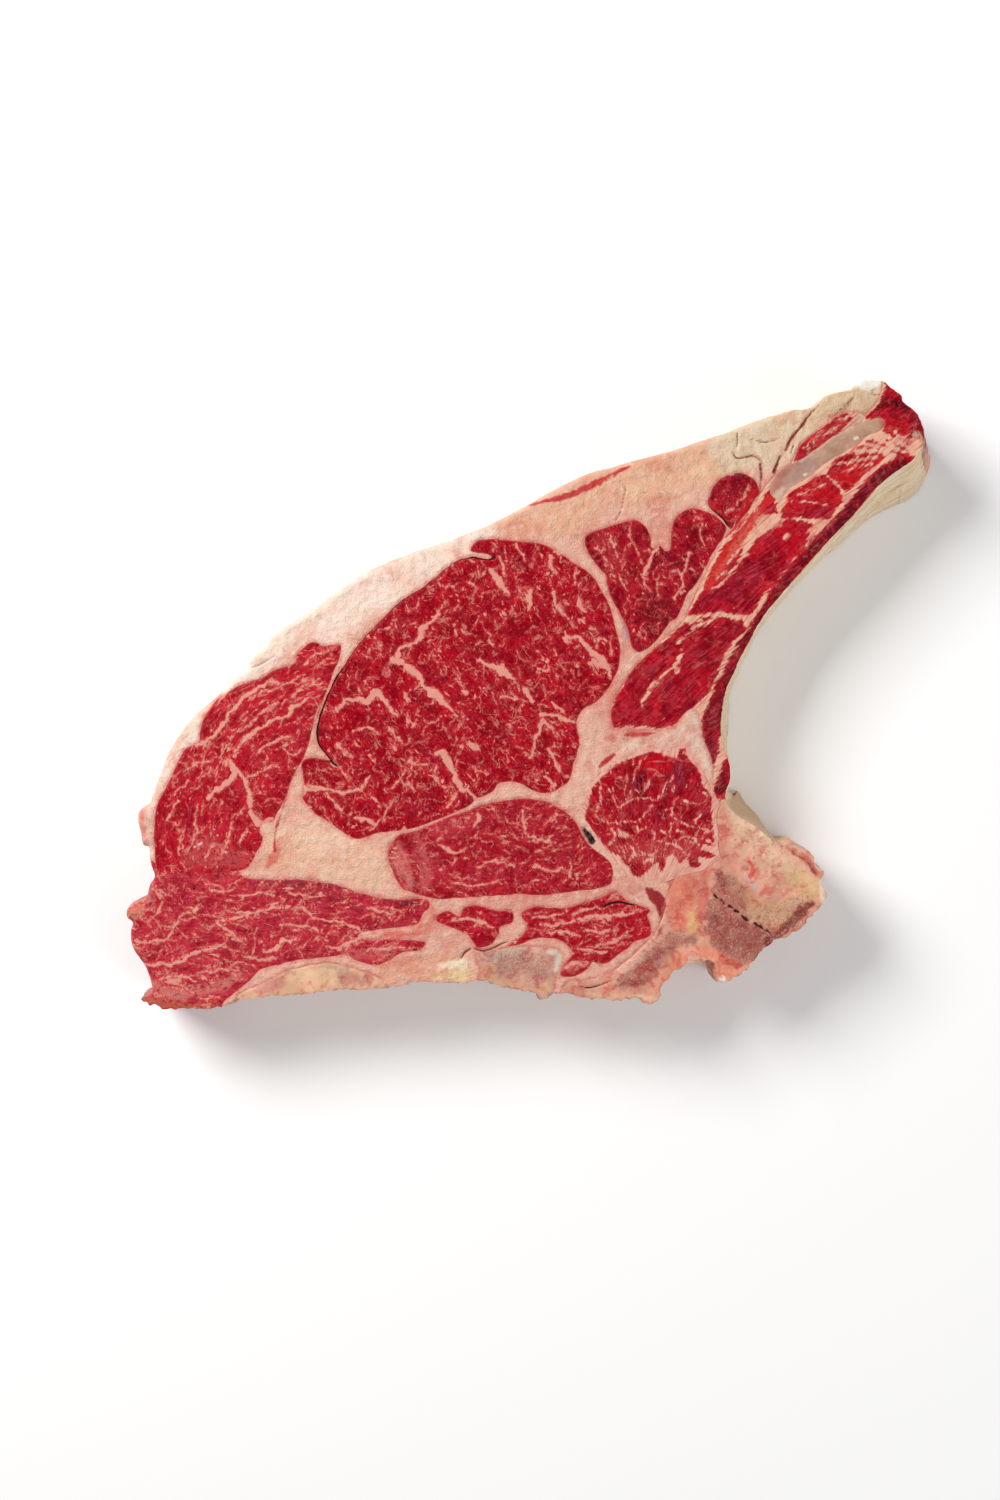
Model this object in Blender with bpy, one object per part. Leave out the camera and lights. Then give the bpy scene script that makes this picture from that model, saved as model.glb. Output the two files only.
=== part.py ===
"""Raw bone-in rib steak: muscles, bones and fat as separate solids through the cut's thickness.

Frame: +Z up, X and Y in the cut face, origin at the centre of the bounding box's underside.
The rib bone points to +X +Y, the backbone lies at +X -Y and the outer fat faces -X +Y.
Outlines are read on the top cut face, in millimetres, and turned into smooth closed curves.
"""
import math

import bpy
import bmesh
from mathutils import Vector

# ---- driving dimensions (metres) ------------------------------------------------------------
MM = 0.001
THICKNESS = 40 * MM              # one rib thick
FRAME_SHIFT = (-1.7 * MM, -0.1 * MM)    # centres the bounding box on the origin
GAP = 0.3 * MM                   # clearance between neighbouring pieces
BULGE = 1.6 * MM                 # how far a free side swells at mid height
TOP_ROUND = 0.6 * MM             # how far the rim draws in at the upper cut face
FOOT_ROUND = 1.2 * MM            # how far it draws in at the face that it rests on
RIM_SHARPNESS = 8                # higher keeps that rounding closer to the faces
LEAN_CURVE = 1.3                 # above 1, a leaning wall is steeper near the top
OVERSHOOT = 6 * MM               # how far a cutting prism passes both faces
SPLINE_STEPS = 2                 # curve points made between two outline points
RIB_SIDES = 12                   # corners of the rib bone's oval section

# Heights of the side wall's rings, as fractions of the thickness.
WALL_LEVELS = (0.0, 0.05, 0.3, 0.7, 0.95, 1.0)

# Rim of the top cut face, clockwise from the lower left tip: x, y and how far the side wall
# leans out below that point. The rib's chest side and the backbone's front lean outwards.
RIM = (
    (-149.5, -117, 0), (-153, -98, 0), (-155, -86, 0), (-150, -78.5, 0), (-147.2, -69, 0),
    (-147, -55, 0), (-144.5, -35, 0), (-138, -18, 0), (-126, -3.5, 0), (-111, 10.5, 0),
    (-97, 24.5, 0), (-77, 38.5, 0), (-50, 53, 0), (-22, 63.5, 0), (0, 74, 0), (18, 83.5, 0),
    (40, 90, 0), (70, 98.5, 0), (95, 107.5, 0), (110, 111.5, 0), (122, 117.3, 0), (131, 121, 0),
    (139.5, 118, 1), (146, 111, 2), (151.5, 103, 6), (151, 97, 10), (148.5, 91.5, 12),
    (141, 86.5, 12), (134, 82, 11), (128, 75.5, 9), (121.5, 67.5, 7), (114, 60, 5.5),
    (107.5, 53, 6), (100, 44, 5.5), (91, 33, 5.5), (84.5, 22, 5.5), (79, 11, 5.5),
    (75.5, 1, 6), (74.3, -10, 7), (75.5, -22, 5), (77.5, -32, 3), (76, -40, 6), (80.5, -46.5, 10),
    (88, -51.5, 8), (96.5, -57, 3), (104, -58.5, 1), (110.5, -64.5, 1), (113.5, -73, 1),
    (112.5, -81, 1), (101, -90.5, 0), (89, -98.5, 0), (80, -107, 0), (74, -109.8, 0),
    (71.3, -106, 0), (70, -102.4, 0), (60, -103.8, 0), (54, -108.5, 0), (50.4, -113.5, 0),
    (49, -118, 0), (33, -116.8, 0), (18, -115.6, 0), (2, -114.6, 0), (-14, -111.3, 0),
    (-30, -109.7, 0), (-56, -112.8, 0), (-88, -115, 0), (-110, -117.2, 0), (-128, -120.8, 0),
    (-143, -120, 0),
)

# Outlines of the muscles on the cut face. Where one runs off the rim, the rim trims it.
EYE_MUSCLE = (
    (-15.6, 53.2), (-18, 55.4), (-22.6, 57), (-19, 59.8), (-9, 60.4), (4, 58.5), (15, 53.8), (24, 47.5),
    (30.2, 38), (33.7, 25), (34.8, 13), (30, 3), (21, -5.3), (17, -9), (18.8, -17), (16.5, -27),
    (13, -33.3), (3.5, -37), (-8, -33.4), (-14.5, -37.2), (-30, -45), (-48, -50.5), (-66, -55.2),
    (-76, -50.3), (-86.5, -41.5), (-86, -36.3), (-88, -31), (-85, -25), (-77, -26.3),
    (-81.7, -18), (-80.8, -9), (-76, 3), (-69.5, 15), (-57, 29), (-38, 44.6), (-28, 51),
    (-19, 51.6),
)
CAP_MUSCLE = (
    (-90, 13.5), (-85.5, 20.2), (-78.5, 18.7), (-72.6, 19.2), (-74.5, 10), (-79.5, -3),
    (-84.7, -15), (-89, -27), (-94, -40), (-98.5, -48.6), (-107.3, -51.4), (-104, -57),
    (-110.5, -66.5), (-127, -68.1), (-144.6, -66), (-145, -50), (-139.5, -34), (-129, -16.5),
    (-122.5, -3.8), (-110, 4.5), (-96, 9.8),
)
BACK_MUSCLE = (
    (-145.5, -70.2), (-128, -69.9), (-108, -70), (-86, -71), (-66, -76), (-50, -78.3),
    (-42, -79.3), (-42.5, -87), (-52, -88.8), (-61.5, -90.6), (-64.6, -92.3), (-61, -93.9),
    (-52, -94.6), (-41.5, -95.6),
    (-43.5, -99.3), (-60, -102.3), (-82, -101.5), (-98, -105), (-112, -112.3), (-128, -116),
    (-146, -115.4), (-158, -117), (-163, -102), (-160, -82), (-155, -71.5),
)
INNER_MUSCLE = (
    (-54.5, -63), (-50.5, -55.7), (-37, -50.4), (-20, -42.9), (-3, -39.6), (10, -42.4),
    (19.5, -51), (27, -61), (31.6, -69), (26, -74), (5, -77), (-20, -77.4), (-46, -75.6),
    (-53, -69.5),
)
CHINE_MUSCLE = (
    (-36.5, -85), (-30.5, -82.6), (-24.5, -80.2), (-10, -82), (8, -80.3), (22, -78.4),
    (30.5, -75.2), (42, -78.3), (46, -83), (45.5, -90.5), (36, -98.3), (27.5, -103.3),
    (15.5, -107.6), (15.4, -101), (12.5, -95.8), (-3, -94.3), (-15, -97.6), (-20.8, -96.8),
    (-25, -91.3), (-33.5, -88),
)
JOINT_MUSCLE = (
    (22, -43), (26.5, -33), (36, -26.6), (47, -22.7), (54, -24.4), (57.6, -20.8), (62, -26),
    (66.7, -34), (69.8, -46), (70.3, -61), (63.5, -60.8), (61.5, -65), (51, -67.2),
    (43.5, -70.6), (37.5, -69), (31.5, -60), (24.5, -51),
)
PLATE_MUSCLE = (
    (21.2, 60.2), (31, 64.7), (39, 67.3), (46, 62.8), (47.3, 56.6), (52, 55.4), (54.7, 58.5),
    (56, 67), (63, 72), (72.3, 67.2), (74.8, 62.4), (69.5, 50.5), (64.7, 42.6), (60.6, 40.4),
    (53.5, 28.2), (45.5, 16.8), (40.6, 16.4), (37.5, 25), (33, 38.5), (26.5, 47.6),
)
LOBE_MUSCLE = (
    (69.2, 75.5), (73, 82), (80.5, 85), (87, 81.5), (86.4, 76), (81.5, 69), (77, 65.2),
    (73, 69.4),
)
RIM_MUSCLE = (
    (101.5, 92.3), (107, 92.2), (113.5, 97.8), (122.5, 104.3), (119, 106.4), (110, 101.7),
    (102.5, 96.3),
)
RIB_MEAT = (
    (31.3, -7), (35, 4), (42, 13.8), (52.5, 22), (62, 29.5), (67, 41), (77, 57), (90, 73),
    (101, 85.5), (112, 92.5), (124, 99), (133.5, 106.5), (137.5, 116), (141, 126), (170, 120),
    (172, 88), (150, 66), (118, 38), (96, 5), (92, -22), (86, -34), (75.2, -38.8), (71.8, -34),
    (72.6, -26), (70.5, -15), (66.5, -4), (57, -11.5), (44, -13.4), (33, -12.6),
)

# Outlines of the sawn backbone, of its spine (feather bone) and of the gristle along the back.
BACKBONE = (
    (17.5, -109.6), (33, -105.3), (43.5, -95.8), (51, -87.5), (54.3, -79), (56.5, -71.6),
    (68, -67), (72.4, -58), (72.2, -48), (75.8, -43.6), (91, -39), (124, -56), (124, -92),
    (86, -122), (57, -126), (22, -126), (15, -117),
)
FEATHER_BONE = (
    (13.3, -101.3), (10.5, -97.3), (3, -96.4), (-8, -97.8), (-18, -100.9), (-22, -105.5),
    (-20, -113), (-14, -122), (4, -122), (9.6, -114), (10.8, -107),
)
BACK_GRISTLE = (
    (-24, -105.6), (-38, -104.4), (-52, -106.3), (-66, -104), (-84, -104.4), (-97, -109),
    (-108, -115.4), (-112, -124), (-70, -126), (-24, -124), (-21, -116), (-23, -110),
)

# Stations of the rib bone from the backbone to its sawn end: centre x, y, z, half the depth
# and half the breadth of its oval section, and the section's tilt from upright in degrees.
RIB_STATIONS = (
    (74.2, -35, 19, 12, 5, 8), (72.8, -18, 19, 14, 6, 8), (73.8, -1, 19, 15, 6, 12),
    (78.5, 15, 20, 16, 6, 20), (87, 30.5, 20.5, 18, 6, 30), (97, 47, 22, 20, 6.5, 38),
    (106, 61.5, 25, 21.5, 6.5, 44), (115, 73.5, 26.4, 22, 6.5, 46), (125, 81.5, 27, 22, 6, 46),
    (135, 88.5, 27, 21, 6, 46), (146.5, 97, 26.5, 20, 6, 46), (168, 112, 26, 19, 6, 46),
)

# Plain surface of each kind of tissue: colour, roughness.
TISSUE_LOOK = {
    "lean_red": ((0.42, 0.035, 0.045, 1.0), 0.35),
    "lean_pink": ((0.55, 0.13, 0.13, 1.0), 0.4),
    "fat": ((0.80, 0.56, 0.44, 1.0), 0.45),
    "bone": ((0.55, 0.36, 0.29, 1.0), 0.6),
    "gristle": ((0.66, 0.45, 0.33, 1.0), 0.5),
}


def empty_the_scene():
    """Remove whatever the scene holds, so that the file can be run again."""
    for leftover in list(bpy.data.objects):
        bpy.data.objects.remove(leftover, do_unlink=True)


def new_collection(name):
    """Return a collection linked under the scene."""
    collection = bpy.data.collections.new(name)
    bpy.context.scene.collection.children.link(collection)
    return collection


def smooth_loop(points):
    """Run a closed smooth curve through outline points and return its points in metres."""
    count = len(points)
    loop = []
    for index in range(count):
        before, start = Vector(points[index - 1]), Vector(points[index])
        end, after = Vector(points[(index + 1) % count]), Vector(points[(index + 2) % count])
        for step in range(SPLINE_STEPS):
            t = step / SPLINE_STEPS
            ahead = (end - before) * t
            bend = (2 * before - 5 * start + 4 * end - after) * t ** 2
            twist = (3 * start - before - 3 * end + after) * t ** 3
            loop.append((start + 0.5 * (ahead + bend + twist)) * MM)
    return loop


def outward_normals(loop):
    """Unit normals pointing out of a closed loop, one for each of its points."""
    area = sum(loop[i - 1].x * loop[i].y - loop[i].x * loop[i - 1].y for i in range(len(loop)))
    turn = math.copysign(1.0, area)
    normals = []
    for index, _ in enumerate(loop):
        along = loop[(index + 1) % len(loop)] - loop[index - 1]
        normals.append(Vector((along.y, -along.x)).normalized() * turn)
    return normals


def grow(loop, distance):
    """Move each point of a loop outwards by a distance."""
    return [point.xy + normal * distance for point, normal in zip(loop, outward_normals(loop))]


def placed(point):
    """Shift a point of the cut face into the part's own frame."""
    return point[0] + FRAME_SHIFT[0], point[1] + FRAME_SHIFT[1]


def add_mesh(name, mesh, collection):
    """Wrap a mesh in an object."""
    item = bpy.data.objects.new(name, mesh)
    collection.objects.link(item)
    return item


def prism(name, loop, collection):
    """Extrude a flat outline past both cut faces and return it as a closed mesh object."""
    outline = bpy.data.curves.new(name, "CURVE")
    outline.dimensions = "2D"
    outline.fill_mode = "BOTH"
    outline.extrude = THICKNESS / 2 + OVERSHOOT
    spline = outline.splines.new("POLY")
    spline.points.add(len(loop) - 1)
    for target, point in zip(spline.points, loop):
        target.co = (*placed(point), 0.0, 1.0)
    spline.use_cyclic_u = True
    guide = bpy.data.objects.new(name + "_outline", outline)
    guide.location.z = THICKNESS / 2
    collection.objects.link(guide)
    graph = bpy.context.evaluated_depsgraph_get()
    mesh = bpy.data.meshes.new_from_object(guide.evaluated_get(graph))
    welded = bmesh.new()
    welded.from_mesh(mesh)
    bmesh.ops.remove_doubles(welded, verts=welded.verts, dist=0.01 * MM)
    bmesh.ops.recalc_face_normals(welded, faces=welded.faces)
    welded.to_mesh(mesh)
    welded.free()
    item = add_mesh(name, mesh, collection)
    item.matrix_world = guide.matrix_world.copy()
    bpy.data.objects.remove(guide, do_unlink=True)
    return item


def loft(name, shape, rings, collection):
    """Close the rings of a bmesh into one solid with flat facets and make it an object."""
    for start, end in zip(rings, rings[1:]):
        for index, _ in enumerate(start):
            shape.faces.new((start[index - 1], start[index], end[index], end[index - 1]))
    walls = list(shape.faces)
    bmesh.ops.triangulate(shape, faces=walls)
    shape.faces.new(rings[0])
    shape.faces.new(rings[-1])
    bmesh.ops.recalc_face_normals(shape, faces=shape.faces)
    mesh = bpy.data.meshes.new(name)
    shape.to_mesh(mesh)
    shape.free()
    return add_mesh(name, mesh, collection)


def wall_offset(level, lean):
    """How far the side wall stands out of the rim at a height, given the wall's lean there."""
    swell = 4 * level * (1 - level) * BULGE
    rounding = (TOP_ROUND if level > 0.5 else FOOT_ROUND) * abs(2 * level - 1) ** RIM_SHARPNESS
    return lean * (1 - level) ** LEAN_CURVE + swell - rounding


def make_envelope(collection):
    """The whole steak's outer shape: the rim's loop lofted down the bulging side wall."""
    loop = smooth_loop(RIM)
    normals = outward_normals(loop)
    shell = bmesh.new()
    rings = []
    for level in WALL_LEVELS:
        ring = []
        for point, normal in zip(loop, normals):
            x, y = placed(point.xy + normal * wall_offset(level, point.z))
            ring.append(shell.verts.new((x, y, level * THICKNESS)))
        rings.append(ring)
    return loft("steak_envelope", shell, rings, collection)


def rib_bar(name, growth, collection):
    """Loft the rib bone's tilted oval sections into one closed bar."""
    centres = [Vector(station[:3]) * MM for station in RIB_STATIONS]
    bar = bmesh.new()
    rings = []
    for index, station in enumerate(RIB_STATIONS):
        half_depth, half_breadth = station[3] * MM + growth, station[4] * MM + growth
        tilt = math.radians(station[5])
        along = centres[min(index + 1, len(centres) - 1)] - centres[max(index - 1, 0)]
        side = Vector((along.y, -along.x, 0)).normalized()
        deep = Vector((0, 0, 1)) * math.cos(tilt) - side * math.sin(tilt)
        broad = side * math.cos(tilt) + Vector((0, 0, 1)) * math.sin(tilt)
        ring = []
        for corner in range(RIB_SIDES):
            angle = 2 * math.pi * (corner + 0.5) / RIB_SIDES
            spot = centres[index] + deep * math.cos(angle) * half_depth
            spot += broad * math.sin(angle) * half_breadth
            if index == 0:
                spot -= along.normalized() * growth
            ring.append(bar.verts.new((*placed(spot), spot.z)))
        rings.append(ring)
    return loft(name, bar, rings, collection)


def as_cutter(item):
    """Mark an object as a guide that isn't part of the steak."""
    item.hide_render = True
    item.display_type = "WIRE"
    return item


def carve(item, other, operation):
    """Add an exact Boolean of another object."""
    modifier = item.modifiers.new(operation.title(), "BOOLEAN")
    modifier.operation = operation
    modifier.solver = "EXACT"
    modifier.object = other


def tissue_material(name):
    """Plain material of one kind of tissue."""
    material = bpy.data.materials.new(name)
    material.use_nodes = True
    shader = material.node_tree.nodes["Principled BSDF"]
    colour, roughness = TISSUE_LOOK[name]
    shader.inputs["Base Color"].default_value = colour
    shader.inputs["Roughness"].default_value = roughness
    shader.inputs["Metallic"].default_value = 0.0
    return material


def make_steak():
    """Build each muscle, each bone and the fat that holds them together."""
    empty_the_scene()
    steak = new_collection("rib_steak")
    cutters = new_collection("cutters")
    materials = {name: tissue_material(name) for name in TISSUE_LOOK}
    envelope = as_cutter(make_envelope(cutters))
    rib_space = as_cutter(rib_bar("rib_space", GAP, cutters))

    pieces = (
        ("eye_muscle", EYE_MUSCLE, "lean_red"),
        ("cap_muscle", CAP_MUSCLE, "lean_red"),
        ("back_muscle", BACK_MUSCLE, "lean_pink"),
        ("inner_muscle", INNER_MUSCLE, "lean_red"),
        ("chine_muscle", CHINE_MUSCLE, "lean_red"),
        ("joint_muscle", JOINT_MUSCLE, "lean_red"),
        ("plate_muscle", PLATE_MUSCLE, "lean_red"),
        ("lobe_muscle", LOBE_MUSCLE, "lean_red"),
        ("rim_muscle", RIM_MUSCLE, "lean_pink"),
        ("rib_meat", RIB_MEAT, "lean_red"),
        ("backbone", BACKBONE, "bone"),
        ("feather_bone", FEATHER_BONE, "bone"),
        ("back_gristle", BACK_GRISTLE, "gristle"),
    )
    spaces = []
    for name, outline, tissue in pieces:
        loop = smooth_loop(outline)
        piece = prism(name, grow(loop, -GAP / 2), steak)
        carve(piece, envelope, "INTERSECT")
        if name == "rib_meat":
            carve(piece, rib_space, "DIFFERENCE")
        piece.data.materials.append(materials[tissue])
        spaces.append(as_cutter(prism(name + "_space", grow(loop, GAP / 2), cutters)))

    rib = rib_bar("rib_bone", 0.0, steak)
    carve(rib, envelope, "INTERSECT")
    rib.data.materials.append(materials["bone"])

    fat = add_mesh("fat", envelope.data.copy(), steak)
    for space in [*spaces, rib_space]:
        carve(fat, space, "DIFFERENCE")
    fat.data.materials.append(materials["fat"])


make_steak()
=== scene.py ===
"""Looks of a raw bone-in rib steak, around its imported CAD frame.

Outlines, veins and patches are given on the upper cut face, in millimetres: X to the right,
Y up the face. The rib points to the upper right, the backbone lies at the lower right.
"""
import math

import bmesh
import bpy
import numpy as np
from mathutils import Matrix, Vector, kdtree
from mathutils.geometry import delaunay_2d_cdt


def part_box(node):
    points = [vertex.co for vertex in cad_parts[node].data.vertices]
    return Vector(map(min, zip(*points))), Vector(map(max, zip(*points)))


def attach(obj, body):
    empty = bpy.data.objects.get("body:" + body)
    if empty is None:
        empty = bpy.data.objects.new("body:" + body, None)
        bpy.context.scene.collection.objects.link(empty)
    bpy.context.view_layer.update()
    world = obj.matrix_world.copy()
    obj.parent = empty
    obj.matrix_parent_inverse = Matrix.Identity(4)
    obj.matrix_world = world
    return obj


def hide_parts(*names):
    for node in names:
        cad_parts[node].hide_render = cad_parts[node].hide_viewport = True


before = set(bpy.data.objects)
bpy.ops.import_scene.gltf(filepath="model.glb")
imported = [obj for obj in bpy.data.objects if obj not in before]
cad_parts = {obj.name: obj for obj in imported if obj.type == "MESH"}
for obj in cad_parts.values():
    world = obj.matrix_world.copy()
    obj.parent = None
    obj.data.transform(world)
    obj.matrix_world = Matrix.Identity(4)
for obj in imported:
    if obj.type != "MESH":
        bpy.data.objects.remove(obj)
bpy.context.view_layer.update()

# ----------------------------------------
# The stand: a pale floor, an even room, one broad soft lamp from the upper left and a weaker
# one from the right. The camera looks straight down from 0.8 m above the upper cut face.
MM = 0.001
FACE_SHIFT = np.array((-1.7, -0.1))          # from outline millimetres to the part's frame
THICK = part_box("eye_muscle")[1][2] / MM      # height of the upper cut face, in millimetres
EYE_HEIGHT = 800.0                           # camera over that face
VIEW_CENTRE = np.array((-11.3, -21.1))       # middle of the view, on the cut face

scene = bpy.context.scene
scene.view_settings.view_transform = "Standard"

lens = bpy.data.cameras.new("straight_down")
lens.lens = 50.0
lens.sensor_width = 36.0
camera = bpy.data.objects.new("straight_down", lens)
camera.location = (*((VIEW_CENTRE + FACE_SHIFT) * MM), (THICK + EYE_HEIGHT) * MM)
scene.collection.objects.link(camera)
scene.camera = camera


def soft_lamp(name, place, size, power, colour):
    """A square lamp that looks at the middle of the steak."""
    light = bpy.data.lights.new(name, "AREA")
    light.size = size
    light.energy = power
    light.color = colour
    lamp = bpy.data.objects.new(name, light)
    lamp.location = place
    lamp.rotation_euler = (Vector((0, 0, 0.02)) - Vector(place)).to_track_quat("-Z", "Y").to_euler()
    scene.collection.objects.link(lamp)


soft_lamp("key_lamp", (-0.85, 0.65, 0.95), 0.6, 20.0, (1.0, 0.985, 0.96))
soft_lamp("fill_lamp", (1.0, -0.6, 0.9), 1.0, 6.0, (0.98, 0.99, 1.0))

room = bpy.data.worlds.new("even_room")
room.use_nodes = True
room.node_tree.nodes["Background"].inputs["Color"].default_value = (1.0, 1.0, 1.0, 1.0)
room.node_tree.nodes["Background"].inputs["Strength"].default_value = 0.26
scene.world = room

floor_shape = bmesh.new()
bmesh.ops.create_grid(floor_shape, x_segments=1, y_segments=1, size=3.0)
floor_mesh = bpy.data.meshes.new("floor")
floor_shape.to_mesh(floor_mesh)
floor_shape.free()
floor = bpy.data.objects.new("floor", floor_mesh)
scene.collection.objects.link(floor)
floor_paint = bpy.data.materials.new("floor_white")
floor_paint.use_nodes = True
floor_inputs = floor_paint.node_tree.nodes["Principled BSDF"].inputs
for key, value in (("Base Color", (0.97, 0.97, 0.97, 1)), ("Roughness", 0.9),
                   ("Emission Color", (1, 1, 1, 1)), ("Emission Strength", 0.1)):
    floor_inputs[key].default_value = value
floor_mesh.materials.append(floor_paint)

# ----------------------------------------
# The rim: the edge of the upper cut face, run by run, clockwise. Each point has how far the
# side wall leans out below it; each run has how round its edge is, how far the wall swells at
# mid height and how ragged it is. Fat is round and swollen, what was sawn is sharp and ragged.
RIM_RUNS = {
    "fat_side": (2.4, 1.5, 0.12, (
        (-149.6, -117, 0), (-146, -115, 0), (-145.2, -112.5, 0), (-147, -106, 0), (-149.8, -101.5, 0),
        (-152.6, -97, 0), (-153.3, -91, 0), (-152.6, -87.5, 0), (-154.6, -85.5, 0), (-154.6, -82.3, 0),
        (-150.5, -80, 0), (-147.4, -78.3, 0), (-145.6, -73, 0), (-143.8, -69.6, 0), (-145.4, -64.5, 0),
        (-146.2, -58.4, 0), (-148.4, -57.4, 0), (-149.4, -53, 0), (-150.6, -48, 0), (-149.8, -44.4, 0),
        (-146.6, -42.4, 0), (-145, -39, 0), (-142, -30, 0), (-138.8, -22.2, 0),
        (-134.5, -15.3, 0), (-128.5, -8.2, 0), (-120.5, -1, 0), (-113.2, 6.2, 0), (-108.7, 9.8, 0),
        (-107.2, 13.4, 0), (-102.1, 18.8, 0), (-98.3, 23.2, 0), (-89.8, 28.8, 0), (-78.6, 36.5, 0),
        (-68.7, 43.4, 0), (-56.4, 50.2, 0), (-42.3, 55.7, 0), (-28.2, 60.4, 0), (-18.5, 64.1, 0),
        (-9, 68.4, 0), (0, 73.2, 0), (12, 80, 0), (22, 84.8, 0), (32, 87.5, 0), (45, 91, 0),
        (57.8, 94.6, 0), (68, 98.1, 0), (85.8, 104.4, 0), (96, 107.9, 0))),
    "rib_back": (1.0, 0.6, 0.35, (
        (101.5, 109.9, 0), (104.9, 109.7, 0), (108.7, 110.8, 0), (112.5, 114.1, 0), (117, 115.9, 0),
        (124, 117.7, 0), (127.5, 120.4, 0), (135, 120.7, 1), (138.2, 118.6, 1))),
    "rib_end": (0.7, 0.4, 0.5, (
        (142.5, 115.2, 2), (143.9, 112.2, 2), (147, 110.3, 3), (150.3, 106.4, 5), (151.8, 101.5, 8),
        (151.4, 97, 11))),
    "chest_side": (0.5, 0.5, 0.1, (
        (149.4, 93, 12), (147.2, 89.6, 12), (142, 86.2, 11), (135.4, 81, 9.4), (129.4, 74.4, 7.4),
        (124.8, 69, 6.2), (120, 63.8, 5.6), (115, 58.8, 4.6), (110.4, 53.6, 4), (104.2, 46.6, 3.8),
        (98, 39.4, 3.8), (92.6, 33.2, 3.9), (88.4, 27, 4), (85.2, 21.2, 4.6), (81.6, 14.4, 4.7),
        (78.6, 7.8, 4.8), (75.8, 1.6, 5.6), (74.4, -6, 6.8), (73.9, -14, 7), (75.6, -21, 5),
        (77.3, -27, 3.2), (77.5, -32.6, 2.6), (75.8, -37.5, 6.5), (76.2, -42.2, 9.4))),
    "neck_side": (0.4, 0.3, 0.1, (
        (79.3, -45.7, 9.6), (83.3, -48.3, 8), (86.8, -50.3, 6.6), (90.6, -53.5, 5.2),
        (94, -55.9, 3.6), (97.6, -57.6, 1.8))),
    "backbone_front": (0.5, 0.5, 0.5, (
        (101.1, -56.6, 1), (103.1, -57.8, 1), (108.2, -61, 1), (110.8, -65.5, 1), (113.5, -68.4, 1),
        (112, -72, 1), (114.1, -75.5, 1), (113.6, -79, 1))),
    "sawn_back": (0.35, 0.9, 1.0, (
        (109.1, -83.9, 0), (106.4, -86.7, 0), (99.8, -92, 0), (93.9, -94.8, 0), (89.9, -97.4, 0),
        (85.3, -102.4, 0), (81.9, -105.9, 0), (78, -108.4, 0), (74.4, -109.6, 0), (72.5, -109, 0),
        (71.3, -106.3, 0), (70.8, -103, 0), (69.2, -102.3, 0), (64.8, -102.6, 0), (59.5, -103.6, 0),
        (56.8, -105.7, 0), (53.6, -108.4, 0), (51, -111.8, 0), (50.2, -116.9, 0), (46.2, -117.8, 0),
        (40.3, -116.6, 0), (30, -117, 0), (20, -116, 0), (15.6, -114.6, 0), (9, -115, 0),
        (4.6, -116.8, 0), (2.6, -114.2, 0), (-8, -112.5, 0), (-19.5, -109.7, 0), (-28.5, -110.6, 0),
        (-40.7, -110.1, 0), (-52, -112, 0), (-61.5, -113.1, 0), (-75.6, -113.5, 0), (-88.1, -115, 0),
        (-105.6, -116.3, 0), (-112.5, -117.3, 0), (-118.9, -119.9, 0), (-132.3, -120.8, 0),
        (-141, -120, 0), (-146.5, -118.6, 0))),
}
LEAN_CURVE = 1.3                 # a leaning wall is steeper near the top
LEAN_REACH = 24.0                # how far inside the rim a leaning wall still spreads the meat
FOOT_ROUND = 1.3                 # how round the lower edge is
LOOP_PITCH = 0.5                 # spacing of points along every outline, in millimetres
ON_RIM = 0.52 * LOOP_PITCH       # points this near the rim belong to the outer wall
REACH = 4.0                      # depths in and round strokes are kept up to this, in millimetres
SHARP_FROM = math.radians(52)    # edges bent more than this stay sharp


def ripple(x, y, z, size, seed):
    """Smooth bumps from -1 to 1, about size apart, the same for the same seed."""
    spot = np.stack(np.broadcast_arrays(x, y, z)).astype(float) / size
    cell = np.floor(spot).astype(np.int64)
    part = spot - cell
    ease = part * part * (3 - 2 * part)
    total = np.zeros(np.shape(x))
    for corner in range(8):
        step = np.array((corner & 1, corner >> 1 & 1, corner >> 2 & 1)).reshape(3, *[1] * np.ndim(x))
        at = cell + step
        code = (at[0] * 73856093) ^ (at[1] * 19349663) ^ (at[2] * 83492791) ^ (seed * 40503 + 97)
        code = (code ^ (code >> 13)) * 1274126177 & 0x7FFFFFFF
        code = (code ^ (code >> 15)) * 1103515245 & 0x7FFFFFFF
        share = np.prod(np.where(step == 1, ease, 1 - ease), axis=0)
        total += share * ((code >> 8) / float(0x7FFFFF) * 2 - 1)
    return total


def smooth_run(points, closed, pitch):
    """Points every pitch along a smooth curve through given points, with their extra values."""
    knots = np.array(points, float)
    if closed:
        before, after, far = np.roll(knots, 1, 0), np.roll(knots, -1, 0), np.roll(knots, -2, 0)
    else:
        padded = np.vstack((2 * knots[0] - knots[1], knots, 2 * knots[-1] - knots[-2]))
        before, knots, after, far = padded[:-3], padded[1:-2], padded[2:-1], padded[3:]
    t = np.arange(16)[None, :, None] / 16
    p0, p1, p2, p3 = (item[:, None, :] for item in (before, knots, after, far))
    curve = 0.5 * (2 * p1 + (p2 - p0) * t + (2 * p0 - 5 * p1 + 4 * p2 - p3) * t ** 2
                   + (3 * p1 - p0 - 3 * p2 + p3) * t ** 3)
    curve = curve.reshape(-1, knots.shape[1])
    curve = np.vstack((curve, curve[:1] if closed else np.array(points[-1:], float)))
    length = np.concatenate(([0], np.cumsum(np.hypot(*np.diff(curve[:, :2], axis=0).T))))
    count = max(2, round(length[-1] / pitch))
    stops = np.linspace(0, length[-1], count + 1)[:-1 if closed else None]
    return np.stack([np.interp(stops, length, column) for column in curve.T], axis=1)


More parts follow.
